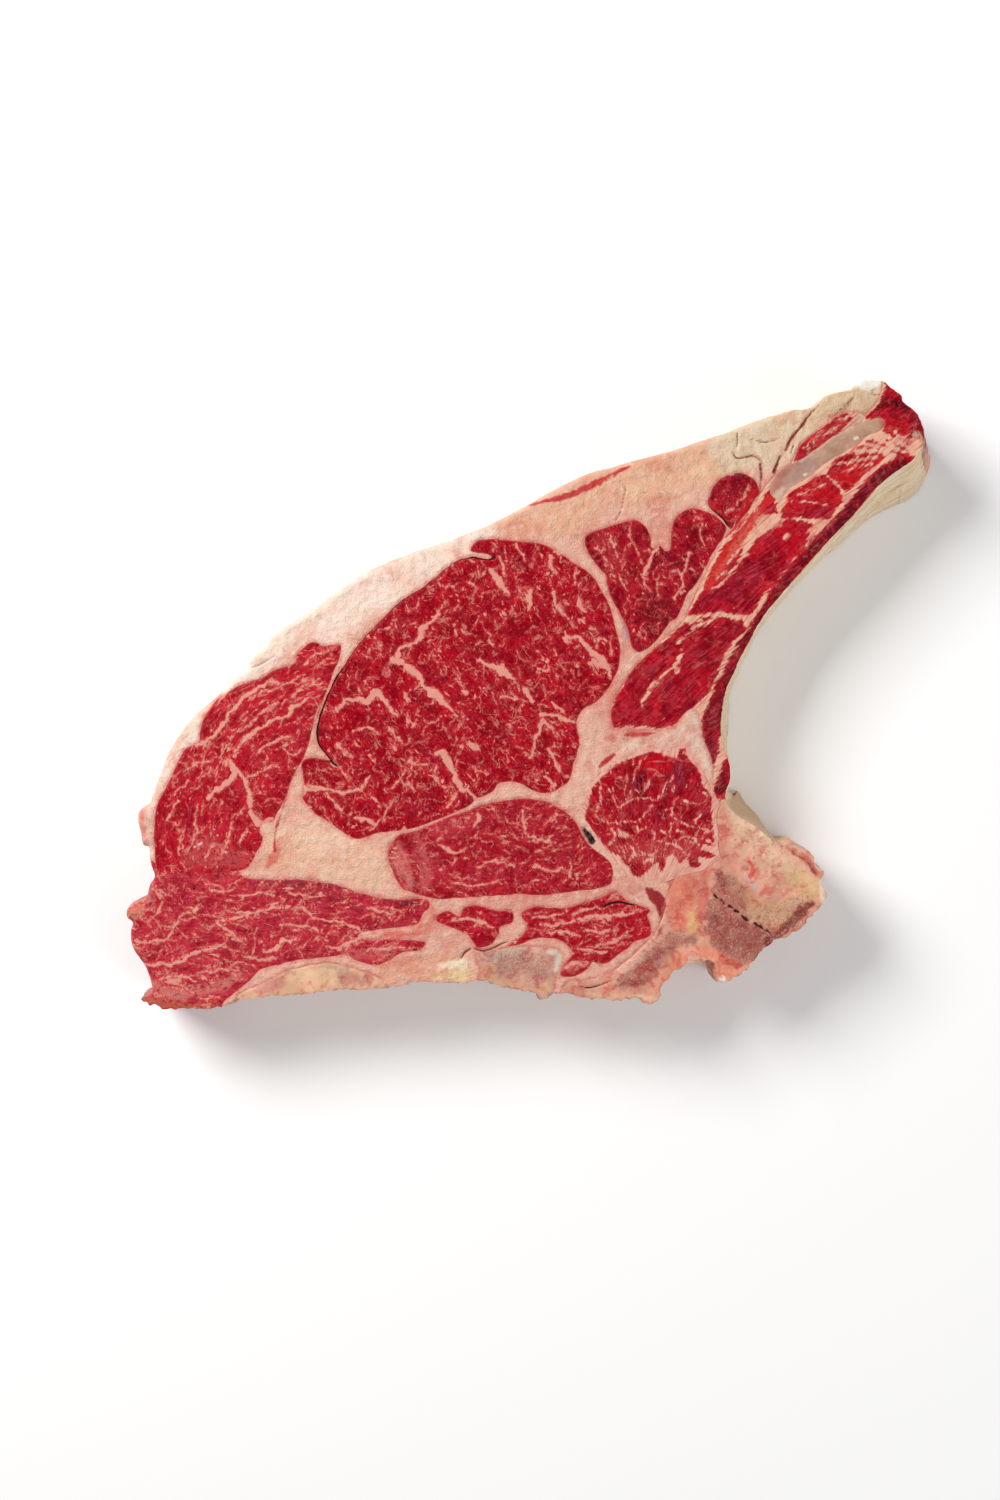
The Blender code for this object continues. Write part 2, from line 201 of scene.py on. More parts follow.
def area_sign(loop):
    """1 for a loop that runs anticlockwise, -1 for a clockwise one."""
    return np.sign(np.sum(np.roll(loop[:, 0], 1) * loop[:, 1] - loop[:, 0] * np.roll(loop[:, 1], 1)))


def loop_normals(loop):
    """Unit normals that point out of a closed loop."""
    along = np.roll(loop, -1, 0) - np.roll(loop, 1, 0)
    normal = np.stack((along[:, 1], -along[:, 0]), axis=1)
    normal /= np.maximum(np.hypot(*normal.T), 1e-9)[:, None]
    return normal * area_sign(loop)


def find_tree(points):
    """A search tree over flat points."""
    tree = kdtree.KDTree(len(points))
    for index, point in enumerate(points):
        tree.insert((point[0], point[1], 0.0), index)
    tree.balance()
    return tree


def nearest(tree, points):
    """Distance to, and index of, the nearest point of a tree, for each point."""
    found = [tree.find((x, y, 0.0))[1:] for x, y in points[:, :2].tolist()]
    both = np.array(found).reshape(-1, 2)
    return both[:, 1], both[:, 0].astype(int)


def signed_gap(loop, points):
    """Distance to a loop, below zero inside it."""
    gap, index = nearest(find_tree(loop), points)
    side = np.sum((points - loop[index]) * loop_normals(loop)[index], axis=1)
    return np.where(side < 0, -gap, gap)


def make_rim():
    """The whole rim as one loop: x, y, lean, roundness, swell, raggedness and number of its run."""
    knots = []
    for number, (round_by, swell, ragged, points) in enumerate(RIM_RUNS.values()):
        knots += [(*point, round_by, swell, ragged, number) for point in points]
    loop = smooth_run(knots, True, LOOP_PITCH)
    flat = loop[:, :2]
    push = loop[:, 5] * (0.75 * ripple(*flat.T, 0, 1.6, 5) + 0.5 * ripple(*flat.T, 0, 5.0, 6))
    flat += loop_normals(flat) * push[:, None]
    return loop


rim = make_rim()
rim_normal = loop_normals(rim[:, :2])
rim_tree = find_tree(rim)
run_number = {name: number for number, name in enumerate(RIM_RUNS)}

# ----------------------------------------
# The eye of the rib: the largest muscle, a long round one cut across, deep red and finely
# marbled. Like every piece here it runs through the whole thickness, held by fat all round.
LEAN_PITCH = 0.5                 # spacing of points in the cut faces of a muscle
WALL_RINGS = 24                  # rings of the outer side wall


def cut_sheet(loops, kept, pitch, bounds):
    """Triangulate a flat lattice with the loops in it; keep triangles inside a kept set of loops."""
    low, high = np.min(bounds, axis=0), np.max(bounds, axis=0)
    row = pitch * math.sqrt(3) / 2
    first = np.floor(low / (pitch, row)).astype(int) - 1
    count = np.ceil((high - low) / (pitch, row)).astype(int) + 3
    column, line = np.meshgrid(first[0] + np.arange(count[0]), first[1] + np.arange(count[1]))
    lattice = np.stack((column + 0.5 * (line % 2), line * (row / pitch)), -1).reshape(-1, 2) * pitch
    jolt = ripple(*lattice.T, 0, 0.3, 11)
    turn = jolt * 9.0
    lattice += 0.16 * pitch * np.stack((np.cos(turn), np.sin(turn)), 1) * np.abs(jolt)[:, None]
    edge = np.vstack(loops)
    gap, _ = nearest(find_tree(edge), lattice)
    lattice = lattice[gap > 0.6 * pitch]
    faces, start = [], 0
    for loop in loops:
        corners = list(range(start, start + len(loop)))
        faces.append(corners if area_sign(loop) > 0 else corners[::-1])
        start += len(loop)
    points = [Vector(point) for point in np.vstack((edge, lattice)).tolist()]
    places, _, triangles, _, _, origins = delaunay_2d_cdt(points, [], faces, 0, 1e-4)
    chosen = [face for face, origin in zip(triangles, origins) if set(origin) in kept]
    used = sorted({corner for face in chosen for corner in face})
    number = {corner: index for index, corner in enumerate(used)}
    return [(*places[corner], 0.0) for corner in used], [[number[c] for c in face] for face in chosen]


def thick_piece(loops, kept, pitch, bounds):
    """Extrude a cut sheet into a closed slab one unit high, with rings round the rim's wall."""
    places, triangles = cut_sheet(loops, kept, pitch, bounds)
    flat = bpy.data.meshes.new("sheet")
    flat.from_pydata(places, [], triangles)
    shape = bmesh.new()
    shape.from_mesh(flat)
    bpy.data.meshes.remove(flat)
    raised = bmesh.ops.extrude_face_region(shape, geom=shape.faces[:])["geom"]
    top = [item for item in raised if isinstance(item, bmesh.types.BMVert)]
    bmesh.ops.translate(shape, vec=(0, 0, 1), verts=top)
    bmesh.ops.recalc_face_normals(shape, faces=shape.faces)
    upright = [edge for edge in shape.edges if abs(edge.verts[0].co.z - edge.verts[1].co.z) > 0.5]
    ends = np.array([edge.verts[0].co.xy for edge in upright])
    near_rim = nearest(rim_tree, ends)[0] < ON_RIM
    on_rim = [edge for edge, near in zip(upright, near_rim) if near]
    if on_rim:
        bmesh.ops.subdivide_edges(shape, edges=on_rim, cuts=WALL_RINGS - 1, use_grid_fill=True)
    return shape


def sag(x, y):
    """The slow waves of the whole upper cut face."""
    return 0.55 * ripple(x, y, 0, 48, 21) + 0.22 * ripple(x, y, 0, 15, 22)


def place_on_steak(flat, level, relief):
    """Where slab points go: over the leaning, swelling wall, with rounded edges and a relief."""
    gap, index = nearest(rim_tree, flat)
    lean, round_by, swell, ragged = rim[index, 2:6].T
    on_rim = gap < ON_RIM
    gap = np.where(on_rim, 0, gap)
    top, foot = level > 0.999, level < 0.001
    wall = on_rim & ~top & ~foot
    x, y = flat.T
    height = level * THICK
    spread = lean * np.clip(1 - gap / LEAN_REACH, 0, 1) ** 2 * (1 - level) ** LEAN_CURVE
    bend = np.pi / 4
    # A face turns down by 45 degrees towards the rim and the wall meets it at 45 degrees.
    share = np.where(top, 1 - np.clip(gap / round_by, 0, 1), 1 - np.clip(gap / FOOT_ROUND, 0, 1))
    angle = np.pi / 2 - bend * share
    size = np.where(top, round_by, FOOT_ROUND)
    inward = np.where(top | foot, size * (share - np.cos(angle)), 0)
    height = np.where(top, THICK - size * (1 - np.sin(angle)), height)
    height = np.where(foot, size * (1 - np.sin(angle)), height)
    high = np.clip((level * THICK - THICK + round_by) / round_by, 0, 1) * wall
    low = np.clip((FOOT_ROUND - level * THICK) / FOOT_ROUND, 0, 1) * wall
    inward = np.where(high > 0, round_by * (1 - np.cos(bend * high)), inward)
    height = np.where(high > 0, THICK - round_by * (1 - np.sin(bend * high)), height)
    inward = np.where(low > 0, FOOT_ROUND * (1 - np.cos(bend * low)), inward)
    height = np.where(low > 0, FOOT_ROUND * (1 - np.sin(bend * low)), height)
    fade = np.clip(4 * level * (1 - level), 0, 1) ** 0.5 * wall
    slow = 0.7 * ripple(x, y, height, 13, 31) + 0.25 * ripple(x, y, height, 4.5, 32)
    rough = ripple(x, y, height * 2.2, 1.9, 33)
    rough += 1.2 * (ripple(x, y, (THICK - height) * 0.6, 1.6, 5) - ripple(x, y, 0, 1.6, 5))
    shove = fade * (4 * level * (1 - level) * swell + slow * np.minimum(swell, 1) + 0.6 * rough * ragged)
    place = flat + rim_normal[index] * (spread - inward + shove)[:, None]
    sway = 1.6 * ripple(x, y, height, 12, 35) * fade * np.clip(swell, 0, 1)
    place += np.column_stack((-rim_normal[index, 1], rim_normal[index, 0])) * sway[:, None]
    lift = np.where(top, sag(x, y) + relief, 0)
    lift += np.where(wall, np.clip((level - 0.5) / 0.5, 0, 1) * (sag(x, y) + relief), 0)
    lift += np.where(foot, 0.12 * (1 + ripple(x, y, 0, 9, 34)), 0)
    return np.column_stack((place + FACE_SHIFT, height + lift)) * MM


def stroke_depth(flat, strokes, wobble=0.0):
    """How deep each point lies in the nearest of many strokes x, y, width; negative outside."""
    if not len(strokes):
        return np.full(len(flat), -REACH)
    dots = np.vstack([smooth_run(stroke, False, 0.25) for stroke in strokes])
    x, y = flat.T
    shift = np.stack((ripple(x, y, 0, 1.7, 61) + ripple(x, y, 0, 3.8, 62),
                      ripple(x, y, 0, 1.7, 63) + ripple(x, y, 0, 3.8, 64)), 1)
    gap, index = nearest(find_tree(dots), flat + wobble * shift)
    return np.clip(dots[index, 2] / 2 - gap, -REACH, REACH)


def drifted(flat, level):
    """Where each point takes its pattern from: down the wall the muscles wander sideways."""
    x, y = flat.T
    depth = (1 - level) * THICK
    sway = np.stack((ripple(x, y, depth, 11, 81), ripple(x, y, depth, 11, 82)), 1)
    return flat + 4.5 * sway * np.clip(depth / 16, 0, 1)[:, None]


def linear_colour(colour):
    """A shader colour from a screen colour of 0 to 255 a channel."""
    scale = [value / 255 for value in colour]
    return (*[v / 12.92 if v < 0.04045 else ((v + 0.055) / 1.055) ** 2.4 for v in scale], 1.0)


def painted(flat, base, dabs):
    """A colour and a strength for each point: soft dabs of colour laid over each other.

    A dab is a screen colour, a strength, the softness of its edge and its x, y, width points.
    """
    x, y = flat.T
    tint = np.zeros((len(flat), 4))
    if base:
        tint[:] = linear_colour(base)
    fray = 0.55 * ripple(x, y, 0, 1.5, 41) + 0.8 * ripple(x, y, 0, 4.5, 42)
    drift = 0.35 * ripple(x, y, 0, 1.1, 43) + 0.5 * ripple(x, y, 0, 6.5, 44)
    for colour, strength, soft, points in dabs:
        path = np.array(points if isinstance(points[0], tuple) else (points,), float)
        dots = smooth_run(path, False, 0.4) if len(path) > 1 else path
        reach = dots[:, 2].max() / 2 + 2 * soft
        low, high = dots[:, :2].min(0) - reach, dots[:, :2].max(0) + reach
        near = np.flatnonzero(np.all((flat > low) & (flat < high), axis=1))
        if not len(near):
            continue
        gap, index = nearest(find_tree(dots), flat[near])
        depth = dots[index, 2] / 2 - gap + fray[near] * min(soft, 1.2) + drift[near] * min(soft, 5)
        share = np.clip(depth / soft + 0.5, 0, 1)
        share = share * share * (3 - 2 * share) * strength
        total = share + tint[near, 3] * (1 - share)
        old = tint[near, :3] * (tint[near, 3] * (1 - share))[:, None]
        new = np.array(linear_colour(colour)[:3]) * share[:, None]
        tint[near, :3] = (old + new) / np.maximum(total, 1e-6)[:, None]
        tint[near, 3] = total
    return tint


def masked(flat, spots):
    """How strongly soft spots cover each point; a spot is a dab without its colour."""
    return painted(flat, None, [((0, 0, 0), *spot) for spot in spots])[:, 3]


def keep_values(mesh, values):
    """Store named numbers, vectors or colours for each point of a mesh."""
    for name, value in values.items():
        value = np.asarray(value, np.float32)
        kind, key = {1: ("FLOAT", "value"), 3: ("FLOAT_VECTOR", "vector"),
                     4: ("FLOAT_COLOR", "color")}[value.shape[1] if value.ndim > 1 else 1]
        mesh.attributes.new(name, kind, "POINT").data.foreach_set(key, value.ravel())


def finish_piece(name, shape, material, nodes, look, relief):
    """Place a slab's points, store its values and put it on the root body."""
    mesh = bpy.data.meshes.new(name)
    shape.to_mesh(mesh)
    shape.free()
    raw = np.empty(len(mesh.vertices) * 3)
    mesh.vertices.foreach_get("co", raw)
    raw = raw.reshape(-1, 3)
    flat, level = raw[:, :2].copy(), raw[:, 2].copy()
    values = look(flat, level)
    mesh.vertices.foreach_set("co", place_on_steak(flat, level, relief(flat, values)).ravel())
    keep_values(mesh, values)
    mesh.shade_smooth()
    mesh.set_sharp_from_angle(angle=SHARP_FROM)
    mesh.materials.append(material)
    piece = bpy.data.objects.new(name, mesh)
    scene.collection.objects.link(piece)
    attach(piece, "root")
    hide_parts(*nodes)
    return piece


class Value:
    """A shader value, so that arithmetic on it can be written plainly."""

    def __init__(self, socket):
        self.socket, self.tree = socket, socket.id_data

    def __add__(self, other):
        return maths("ADD", self, other)

    def __sub__(self, other):
        return maths("SUBTRACT", self, other)

    def __mul__(self, other):
        return maths("MULTIPLY", self, other)

    def __rtruediv__(self, other):
        return maths("DIVIDE", other, self)

    def __abs__(self):
        return maths("ABSOLUTE", self)


def add_node(tree, kind, settings=None, **links):
    """Add a shader node, set its options, and set or link its inputs by name or number."""
    node = tree.nodes.new("ShaderNode" + kind)
    for key, value in (settings or {}).items():
        setattr(node, key, value)
    for key, value in links.items():
        numbered = key[0] == "i" and key[1:].isdigit()
        socket = node.inputs[int(key[1:])] if numbered else node.inputs[key.replace("_", " ")]
        if isinstance(value, Value):
            tree.links.new(value.socket, socket)
        else:
            socket.default_value = value
    return node


def home(*values):
    """The node tree that holds the shader values among these."""
    return next(value.tree for value in values if isinstance(value, Value))


def maths(operation, *values):
    """One step of arithmetic on shader values."""
    inputs = {f"i{number}": value for number, value in enumerate(values)}
    return Value(add_node(home(*values), "Math", {"operation": operation}, **inputs).outputs[0])


def step_up(value, low, high, low_to=0.0, high_to=1.0):
    """A smooth step of a value from low to high."""
    node = add_node(value.tree, "MapRange", {"interpolation_type": "SMOOTHSTEP"}, i0=value, i1=low,
                    i2=high, i3=low_to, i4=high_to)
    return Value(node.outputs["Result"])


def blend(share, first, second, kind="MIX"):
    """Mix two colours, shader values or screen colours, by a share."""
    tree = home(share, first, second)
    first, second = (linear_colour(item) if isinstance(item, tuple) else item for item in (first, second))
    node = add_node(tree, "Mix", {"data_type": "RGBA", "blend_type": kind}, i0=share, i6=first, i7=second)
    return Value(node.outputs[2])


def noise(vector, scale, detail=2.0, roughness=0.5, distortion=0.0):
    """Fractal noise of 0 to 1."""
    node = add_node(vector.tree, "TexNoise", Vector=vector, Scale=scale, Detail=detail,
                    Roughness=roughness, Distortion=distortion)
    return Value(node.outputs["Fac"])


def stretch(vector, scale):
    """A pattern's coordinates, scaled on each axis."""
    return Value(add_node(vector.tree, "Mapping", Vector=vector, Scale=scale).outputs[0])


def attribute(tree, name, output="Fac"):
    """A value stored on the mesh."""
    return Value(add_node(tree, "Attribute", {"attribute_name": name}).outputs[output])


def new_material(name):
    """A material with its own shader, and its node tree."""
    material = bpy.data.materials.new(name)
    material.use_nodes = True
    return material, material.node_tree


def finish_material(material, colour, height, bump, depth, roughness, specular):
    """Feed a material's shader: its colour, bumps of a depth in metres, roughness and gloss."""
    tree = material.node_tree
    shader = tree.nodes["Principled BSDF"]
    bumps = add_node(tree, "Bump", Height=height, Strength=bump, Distance=depth)
    tree.links.new(colour.socket, shader.inputs["Base Color"])
    tree.links.new(bumps.outputs["Normal"], shader.inputs["Normal"])
    tree.links.new(roughness.socket, shader.inputs["Roughness"])
    shader.inputs["Specular IOR Level"].default_value = specular
    return material


def build_marbling():
    """Fat in lean meat: given veins with soft torn edges, winding threads, clustered flecks."""
    group = bpy.data.node_groups.new("marbling", "ShaderNodeTree")
    for label, kind, value in (("Grain", "Vector", (0, 0, 0)), ("Vein", "Float", -REACH),
                               ("Thread Size", "Float", 6.0), ("Threads", "Float", 0.5),
                               ("Flecks", "Float", 0.5)):
        socket = group.interface.new_socket(label, in_out="INPUT", socket_type="NodeSocket" + kind)
        socket.default_value = value
    for label in ("Fat", "Halo"):
        group.interface.new_socket(label, in_out="OUTPUT", socket_type="NodeSocketFloat")
    given = {socket.name: Value(socket) for socket in group.nodes.new("NodeGroupInput").outputs}
    gives = group.nodes.new("NodeGroupOutput").inputs
    grain = given["Grain"]
    fray = (noise(grain, 2.2) - 0.5) * 0.4 + (noise(grain, 0.6, 3.5, 0.7) - 0.5)
    torn = fray * 2.3 + given["Vein"]
    fat, halo = step_up(torn, -0.35, 0.45), step_up(torn, -1.6, 0.1)
    for factor, width, seen in ((1.0, 0.03, 0.5), (2.2, 0.034, 0.59)):
        size = 1.0 / given["Thread Size"] * factor
        away = abs(noise(grain, size, 3.5, 0.6, 0.8) - 0.5)
        band = step_up(noise(grain, size * 1.7), seen - 0.04, seen + 0.12) * given["Threads"]
        line = step_up(away, width, width * 0.2) * band
        blur = step_up(away, width * 3.5, width * 0.4) * band
        fat, halo = maths("MAXIMUM", fat, line * 0.85), maths("MAXIMUM", halo, blur)
    herd = step_up(noise(grain, 0.13, 3.0), 0.4, 0.64, -0.07, 0.05)
    for size, cut, full in ((0.26, 0.685, 0.9), (0.5, 0.685, 0.95), (1.0, 0.735, 0.7)):
        speck = noise(stretch(grain, (0.6, 1.0, 1.0)), size, 3.5, 0.6, 0.5)
        over = speck - (given["Flecks"] * -0.08 + cut) + herd
        fat = maths("MAXIMUM", fat, step_up(over, -0.012, 0.055, 0.0, full))
        halo = maths("MAXIMUM", halo, step_up(over, -0.09, 0.03))
    group.links.new(fat.socket, gives["Fat"])
    group.links.new(halo.socket, gives["Halo"])
    return group


marbling = build_marbling()
MARBLE_FAT = (218, 146, 130)     # fat between the fibres
BRIGHT_RIM = (206, 52, 54)       # lean round a vein, lit through the fat
PINK_FIBRE = (194, 74, 86)       # fibres with a thin veil of fat
WALL_SKIN = (232, 186, 124)      # thin dried film on outer walls


def lean_material(name, dark, bright, thread_size=6.0, threads=0.6, flecks=0.5, streak=0.45,
                  fat_colour=MARBLE_FAT, fibre_scale=1.5, fibre_thin=0.35, feather=0.0, bloody=0.8,
                  skin_colour=WALL_SKIN):
    """Damp raw lean: two reds that drift, fibre bundles, marbling and a film on outer walls.

    Feather is how far fat and lean reach into each other along the fibres, in millimetres.
    """
    material, tree = new_material(name)
    grain = attribute(tree, "grain", "Vector")
    vein, gap, film, crack = (attribute(tree, key) for key in ("vein", "seam", "film", "crack"))
    if feather:
        teeth = noise(stretch(grain, (fibre_thin * 1.2, 1.0, 1.0)), 0.75, 3.0, 0.62, 0.4)
        vein = (teeth - 0.5) * (feather * 3) + vein
    fatty = add_node(tree, "Group", {"node_tree": marbling}, Grain=grain, Vein=vein,
                     Thread_Size=thread_size, Threads=threads, Flecks=flecks)
    fat, halo = Value(fatty.outputs["Fat"]), Value(fatty.outputs["Halo"])
    # The lean: reds along the fibres, given tints, pale bundles, damp dark and lit spots.
    along = stretch(grain, (fibre_thin, 1.0, 0.6))
    fibres = noise(along, fibre_scale, 3.0, 0.65, 0.3)
    mixed = (fibres - 0.5) * 0.9 + noise(grain, 0.13, 3.0, 0.6, 0.4)
    colour = blend(step_up(mixed, 0.34, 0.66), dark, bright)
    colour = blend(attribute(tree, "tint", "Alpha"), colour, attribute(tree, "tint", "Color"))
    colour = blend(halo * 0.45, colour, BRIGHT_RIM)
    weave = step_up(noise(along, fibre_scale * 1.25, 2.0, 0.6, 0.5), 0.42, 0.66)
    weave *= step_up(noise(grain, 0.15, 4.0, 0.62, 0.5), 0.4, 0.66, 0.1, 1.0)
    colour = blend(weave * streak, colour, PINK_FIBRE)
    damp = step_up(noise(grain, 0.7, 4.0, 0.7), 0.5, 0.34, 0.0, 0.75)
    colour = blend(damp, colour, (104, 4, 24))
    lit = step_up(noise(grain, 0.33, 3.0, 0.6), 0.54, 0.68, 0.0, 0.4)
    colour = blend(lit, colour, (212, 44, 56))
    # The fat in it, streaked with blood where it is feathered, and the rosy seam round the piece.
    paler = tuple(min(255, channel * 1.04 + 6) for channel in fat_colour)
    fat_tone = blend(noise(grain, 0.6, 3.0), fat_colour, paler)
    if feather:
        strand = noise(stretch(grain, (fibre_thin * 0.6, 1.0, 1.0)), 1.1, 3.0, 0.6, 0.3)
        fat_tone = blend(step_up(strand, 0.5, 0.66, 0.0, bloody), fat_tone, (204, 92, 82))
        rosy = step_up(noise(grain, 0.2, 3.0), 0.48, 0.64, 0.0, bloody * 0.6)
        fat_tone = blend(rosy, fat_tone, (206, 128, 116))
    colour = blend(fat, colour, fat_tone)
    colour = blend(step_up(gap, 0.7, 0.0, 0.0, 0.45) - fat, colour, (200, 92, 86))
    # The dried film on the outer wall, with brown and grey tissue in it, and painted shade: near black in
    # the cracks and slits.
    tissue = noise(stretch(grain, (0.12, 0.6, 1.0)), 0.3, 4.0, 0.6)
    skin = blend(step_up(tissue, 0.4, 0.6), skin_colour, (250, 228, 198))
    tissue = noise(stretch(grain, (0.1, 0.5, 1.0)), 0.42, 4.0, 0.6)
    skin = blend(step_up(tissue, 0.56, 0.66, 0.0, 0.7), skin, (196, 132, 96))
    skin = blend(step_up(tissue, 0.44, 0.34, 0.0, 0.6), skin, (226, 214, 196))
    frayed = (noise(grain, 0.5, 3.0) - 0.5) * 0.7 + film
    colour = blend(step_up(frayed, 0.42, 0.6), colour, skin)
    colour = blend(step_up(crack, -0.12, 0.12), colour, (54, 24, 26))
    height = fat * 0.1 + (fibres * 0.4 + noise(grain, 1.5, 2.0, 0.6) * 0.3)
    roughness = fat * 0.14 + (noise(grain, 0.3) * 0.3 + 0.12)
    return finish_material(material, colour, height, 0.8, 0.0007, roughness, 0.05)


def straight_grain(degrees, wave=0.0):
    """Grain along one direction, with a slow wave across it."""
    turn = math.radians(degrees)

    def along(x, y):
        u, v = x * math.cos(turn) + y * math.sin(turn), y * math.cos(turn) - x * math.sin(turn)
        return u, v + wave * np.sin(u / 7.0 + v / 11.0)

    return along


def ray_grain(centre, radius):
    """Grain along rays from a centre."""

    def along(x, y):
        east, north = x - centre[0], y - centre[1]
        return np.hypot(east, north), np.arctan2(-east, north) * radius

    return along


def ring_grain(centre, radius):
    """Grain along circles round a centre."""
    return lambda x, y: ray_grain(centre, radius)(x, y)[::-1]


def strewn_veins(outline, count, spans, widths, flow, seed, bend=0.6):
    """Short thin veins strewn inside an outline, each along the muscle's flow there."""
    loop = smooth_run(outline, True, 1.0)[:, :2]
    chance = np.random.default_rng(seed)
    starts = chance.uniform(loop.min(0), loop.max(0), (count * 4, 2))
    starts = starts[signed_gap(loop, starts) < -1.5][:count]
    veins = []
    for start in starts:
        span, width = chance.uniform(*spans), chance.uniform(*widths)
        heading = flow(*start) + chance.normal(0, 0.45)
        turn, spot, vein = chance.normal(0, bend), start.copy(), []
        for part in range(5):
            vein.append((spot[0], spot[1], width * (1 - 0.75 * abs(part - 2) / 2)))
            spot = spot + span / 4 * np.array((math.cos(heading), math.sin(heading)))
            heading += turn / 4 + chance.normal(0, 0.25)
        veins.append(vein)
    return veins


WALL_FILM = {"fat_side": 0.1, "rib_back": 0.5, "rib_end": 0.15, "chest_side": 1.0, "neck_side": 0.9,
             "backbone_front": 0.4, "sawn_back": 0.2}
OUTLINE_JAG = 0.2                # how far a piece's outline wavers, in millimetres
piece_loops = {}                 # the outlines of the pieces made so far


def wall_film(flat, level):
    """How much of the thin dried film covers each point: none on the cut faces."""
    gap, index = nearest(rim_tree, flat)
    run = rim[index, 6].round().astype(int)
    share = np.array([WALL_FILM[name] for name in RIM_RUNS])[run]
    depth = (1 - level) * THICK
    lip = np.where((run == run_number["chest_side"]) & (level > 0.5), np.clip(0.9 - gap, 0, 1), 0)
    return np.where(gap < ON_RIM, np.maximum(np.clip(depth / 1.6, 0, 1) * share, lip), lip)


def cut_piece(name, outlines, pitch, cut_by):
    """A slab inside its outlines and outside the pieces that cut it, and a tree of its seams."""
    loops = []
    for outline in outlines:
        loop = smooth_run(outline, True, LOOP_PITCH)[:, :2]
        jag = OUTLINE_JAG * ripple(*loop.T, 0, 2.4, 51)
        loops.append(loop + loop_normals(loop) * jag[:, None])
    piece_loops[name] = loops
    cutters = [loop for other in cut_by for loop in piece_loops[other]]
    kept = [{0, number + 1} for number in range(len(loops))]
    inside = np.clip(np.vstack(loops), rim[:, :2].min(0), rim[:, :2].max(0))
    shape = thick_piece([rim[:, :2], *loops, *cutters], kept, pitch, inside)
    return shape, find_tree(np.vstack((*loops, *cutters)))


def cut_marks(values, slit, groove):
    """How far a piece's cracks and the groove round it lie below its cut face."""
    cracks = slit * np.clip(values["crack"] / 0.4 + 0.7, 0, 1)
    return cracks + groove * np.exp(-(values["seam"] / 0.5) ** 2)


def lean_piece(name, outlines, material, slot="lean_red", veins=(), thin=1.0, strewn=(),
               grain=straight_grain(0), dabs=(), cracks=(), lumps=0.12, cut_by=(), lean_islands=(),
               fatty=(), grown=()):
    """One muscle: its slab, and its veins, grain, colour dabs and cracks.

    Given veins are thinned by a share, finer ones are strewn over the last outline. All but
    the lean islands is fat. Fatty spots thicken the veins, grown ones hide the seam round it.
    """
    veins = [[(x, y, width * thin) for x, y, width in vein] for vein in veins]
    if strewn:
        veins += strewn_veins(outlines[-1], *strewn)
    shape, seam_tree = cut_piece(name, outlines, LEAN_PITCH, cut_by)

    def look(flat, level):
        deep = drifted(flat, level)
        vein = stroke_depth(deep, veins, 0.55)
        if lean_islands:
            islands = [smooth_run(island, True, LOOP_PITCH)[:, :2] for island in lean_islands]
            outside = np.min([signed_gap(island, deep) for island in islands], axis=0)
            vein = np.clip(np.maximum(vein, outside), -REACH, REACH)
        return {
            "vein": np.maximum(vein, 3.85 * masked(deep, fatty) - REACH),
            "seam": nearest(seam_tree, flat)[0] + REACH * masked(flat, grown),
            "grain": np.stack((*grain(*deep.T), level * THICK), 1),
            "tint": painted(deep, None, dabs),
            "film": wall_film(flat, level),
            "crack": stroke_depth(deep, cracks),
        }

    def relief(flat, values):
        x, y = flat.T
        inner = 1 - np.exp(-values["seam"] / 1.2)
        lift = inner * lumps * (ripple(x, y, 0, 2.6, 52) + 0.8 * ripple(x, y, 0, 6, 53))
        lift += 0.1 * np.clip(values["vein"] / 0.5 + 0.5, 0, 1) * inner
        return lift - cut_marks(values, 0.5, 0.22)

    return finish_piece(name, shape, material, (name,), look, relief)


EYE_OUTLINE = (
    (-17.2, 54.3), (-22.6, 55.4), (-20.4, 58.9), (-15, 60), (-8.8, 59.4), (-3.5, 58.9), (2.7, 58.4),
    (8, 56.6), (12.4, 54), (16.8, 50.9), (21.2, 48.2), (24.7, 45.2), (27.4, 40.8), (30, 36.3), (31.8, 31.1),
    (33.1, 25.8), (34.4, 20.5), (34.9, 15.2), (34, 9.9), (31.8, 5.5), (30, 2), (25.6, -2.4), (20.3, -6),
    (18.1, -10.8), (19.2, -16.6), (18.5, -21.8), (16.8, -27.1), (15.5, -32.4), (11.5, -35.9), (7.1, -37.7),
    (2.7, -37.3), (-0.9, -35.1), (-5.3, -33.3), (-8.8, -33.3), (-11.9, -34.2), (-14.1, -36.8), (-17.6, -39),
    (-20.2, -39.9), (-23.8, -43), (-28.2, -44.8), (-33.5, -47), (-37, -48.3), (-42.3, -50.5),
    (-47.6, -51.8), (-52.9, -52.3), (-58.2, -53.1), (-62.6, -54.5), (-66.5, -55.3), (-70.5, -53.6),
    (-74, -50.9), (-77.6, -48.3), (-82, -45.6), (-85.5, -42.1), (-87.2, -39.5), (-86.3, -37.6),
    (-86.6, -35), (-87.3, -29.8), (-87.7, -27.1), (-86.4, -24.9), (-82.8, -24), (-78.6, -24.8),
    (-76.4, -25), (-78.4, -22.7), (-81.1, -19.2), (-81.8, -14.8), (-81.1, -9.5), (-78.9, -3.3), (-76.7, 2),
    (-74, 7.3), (-70.5, 12.5), (-67, 17.8), (-62.6, 23.1), (-59, 26.6), (-54.6, 31.1), (-50.2, 35.5),
    (-44.9, 39), (-40.5, 41.6), (-35.2, 46), (-30.8, 49.6), (-26.4, 52), (-22, 53.1), (-17.6, 52.5),
    (-15.4, 52.2), (-14.4, 53.2),
)
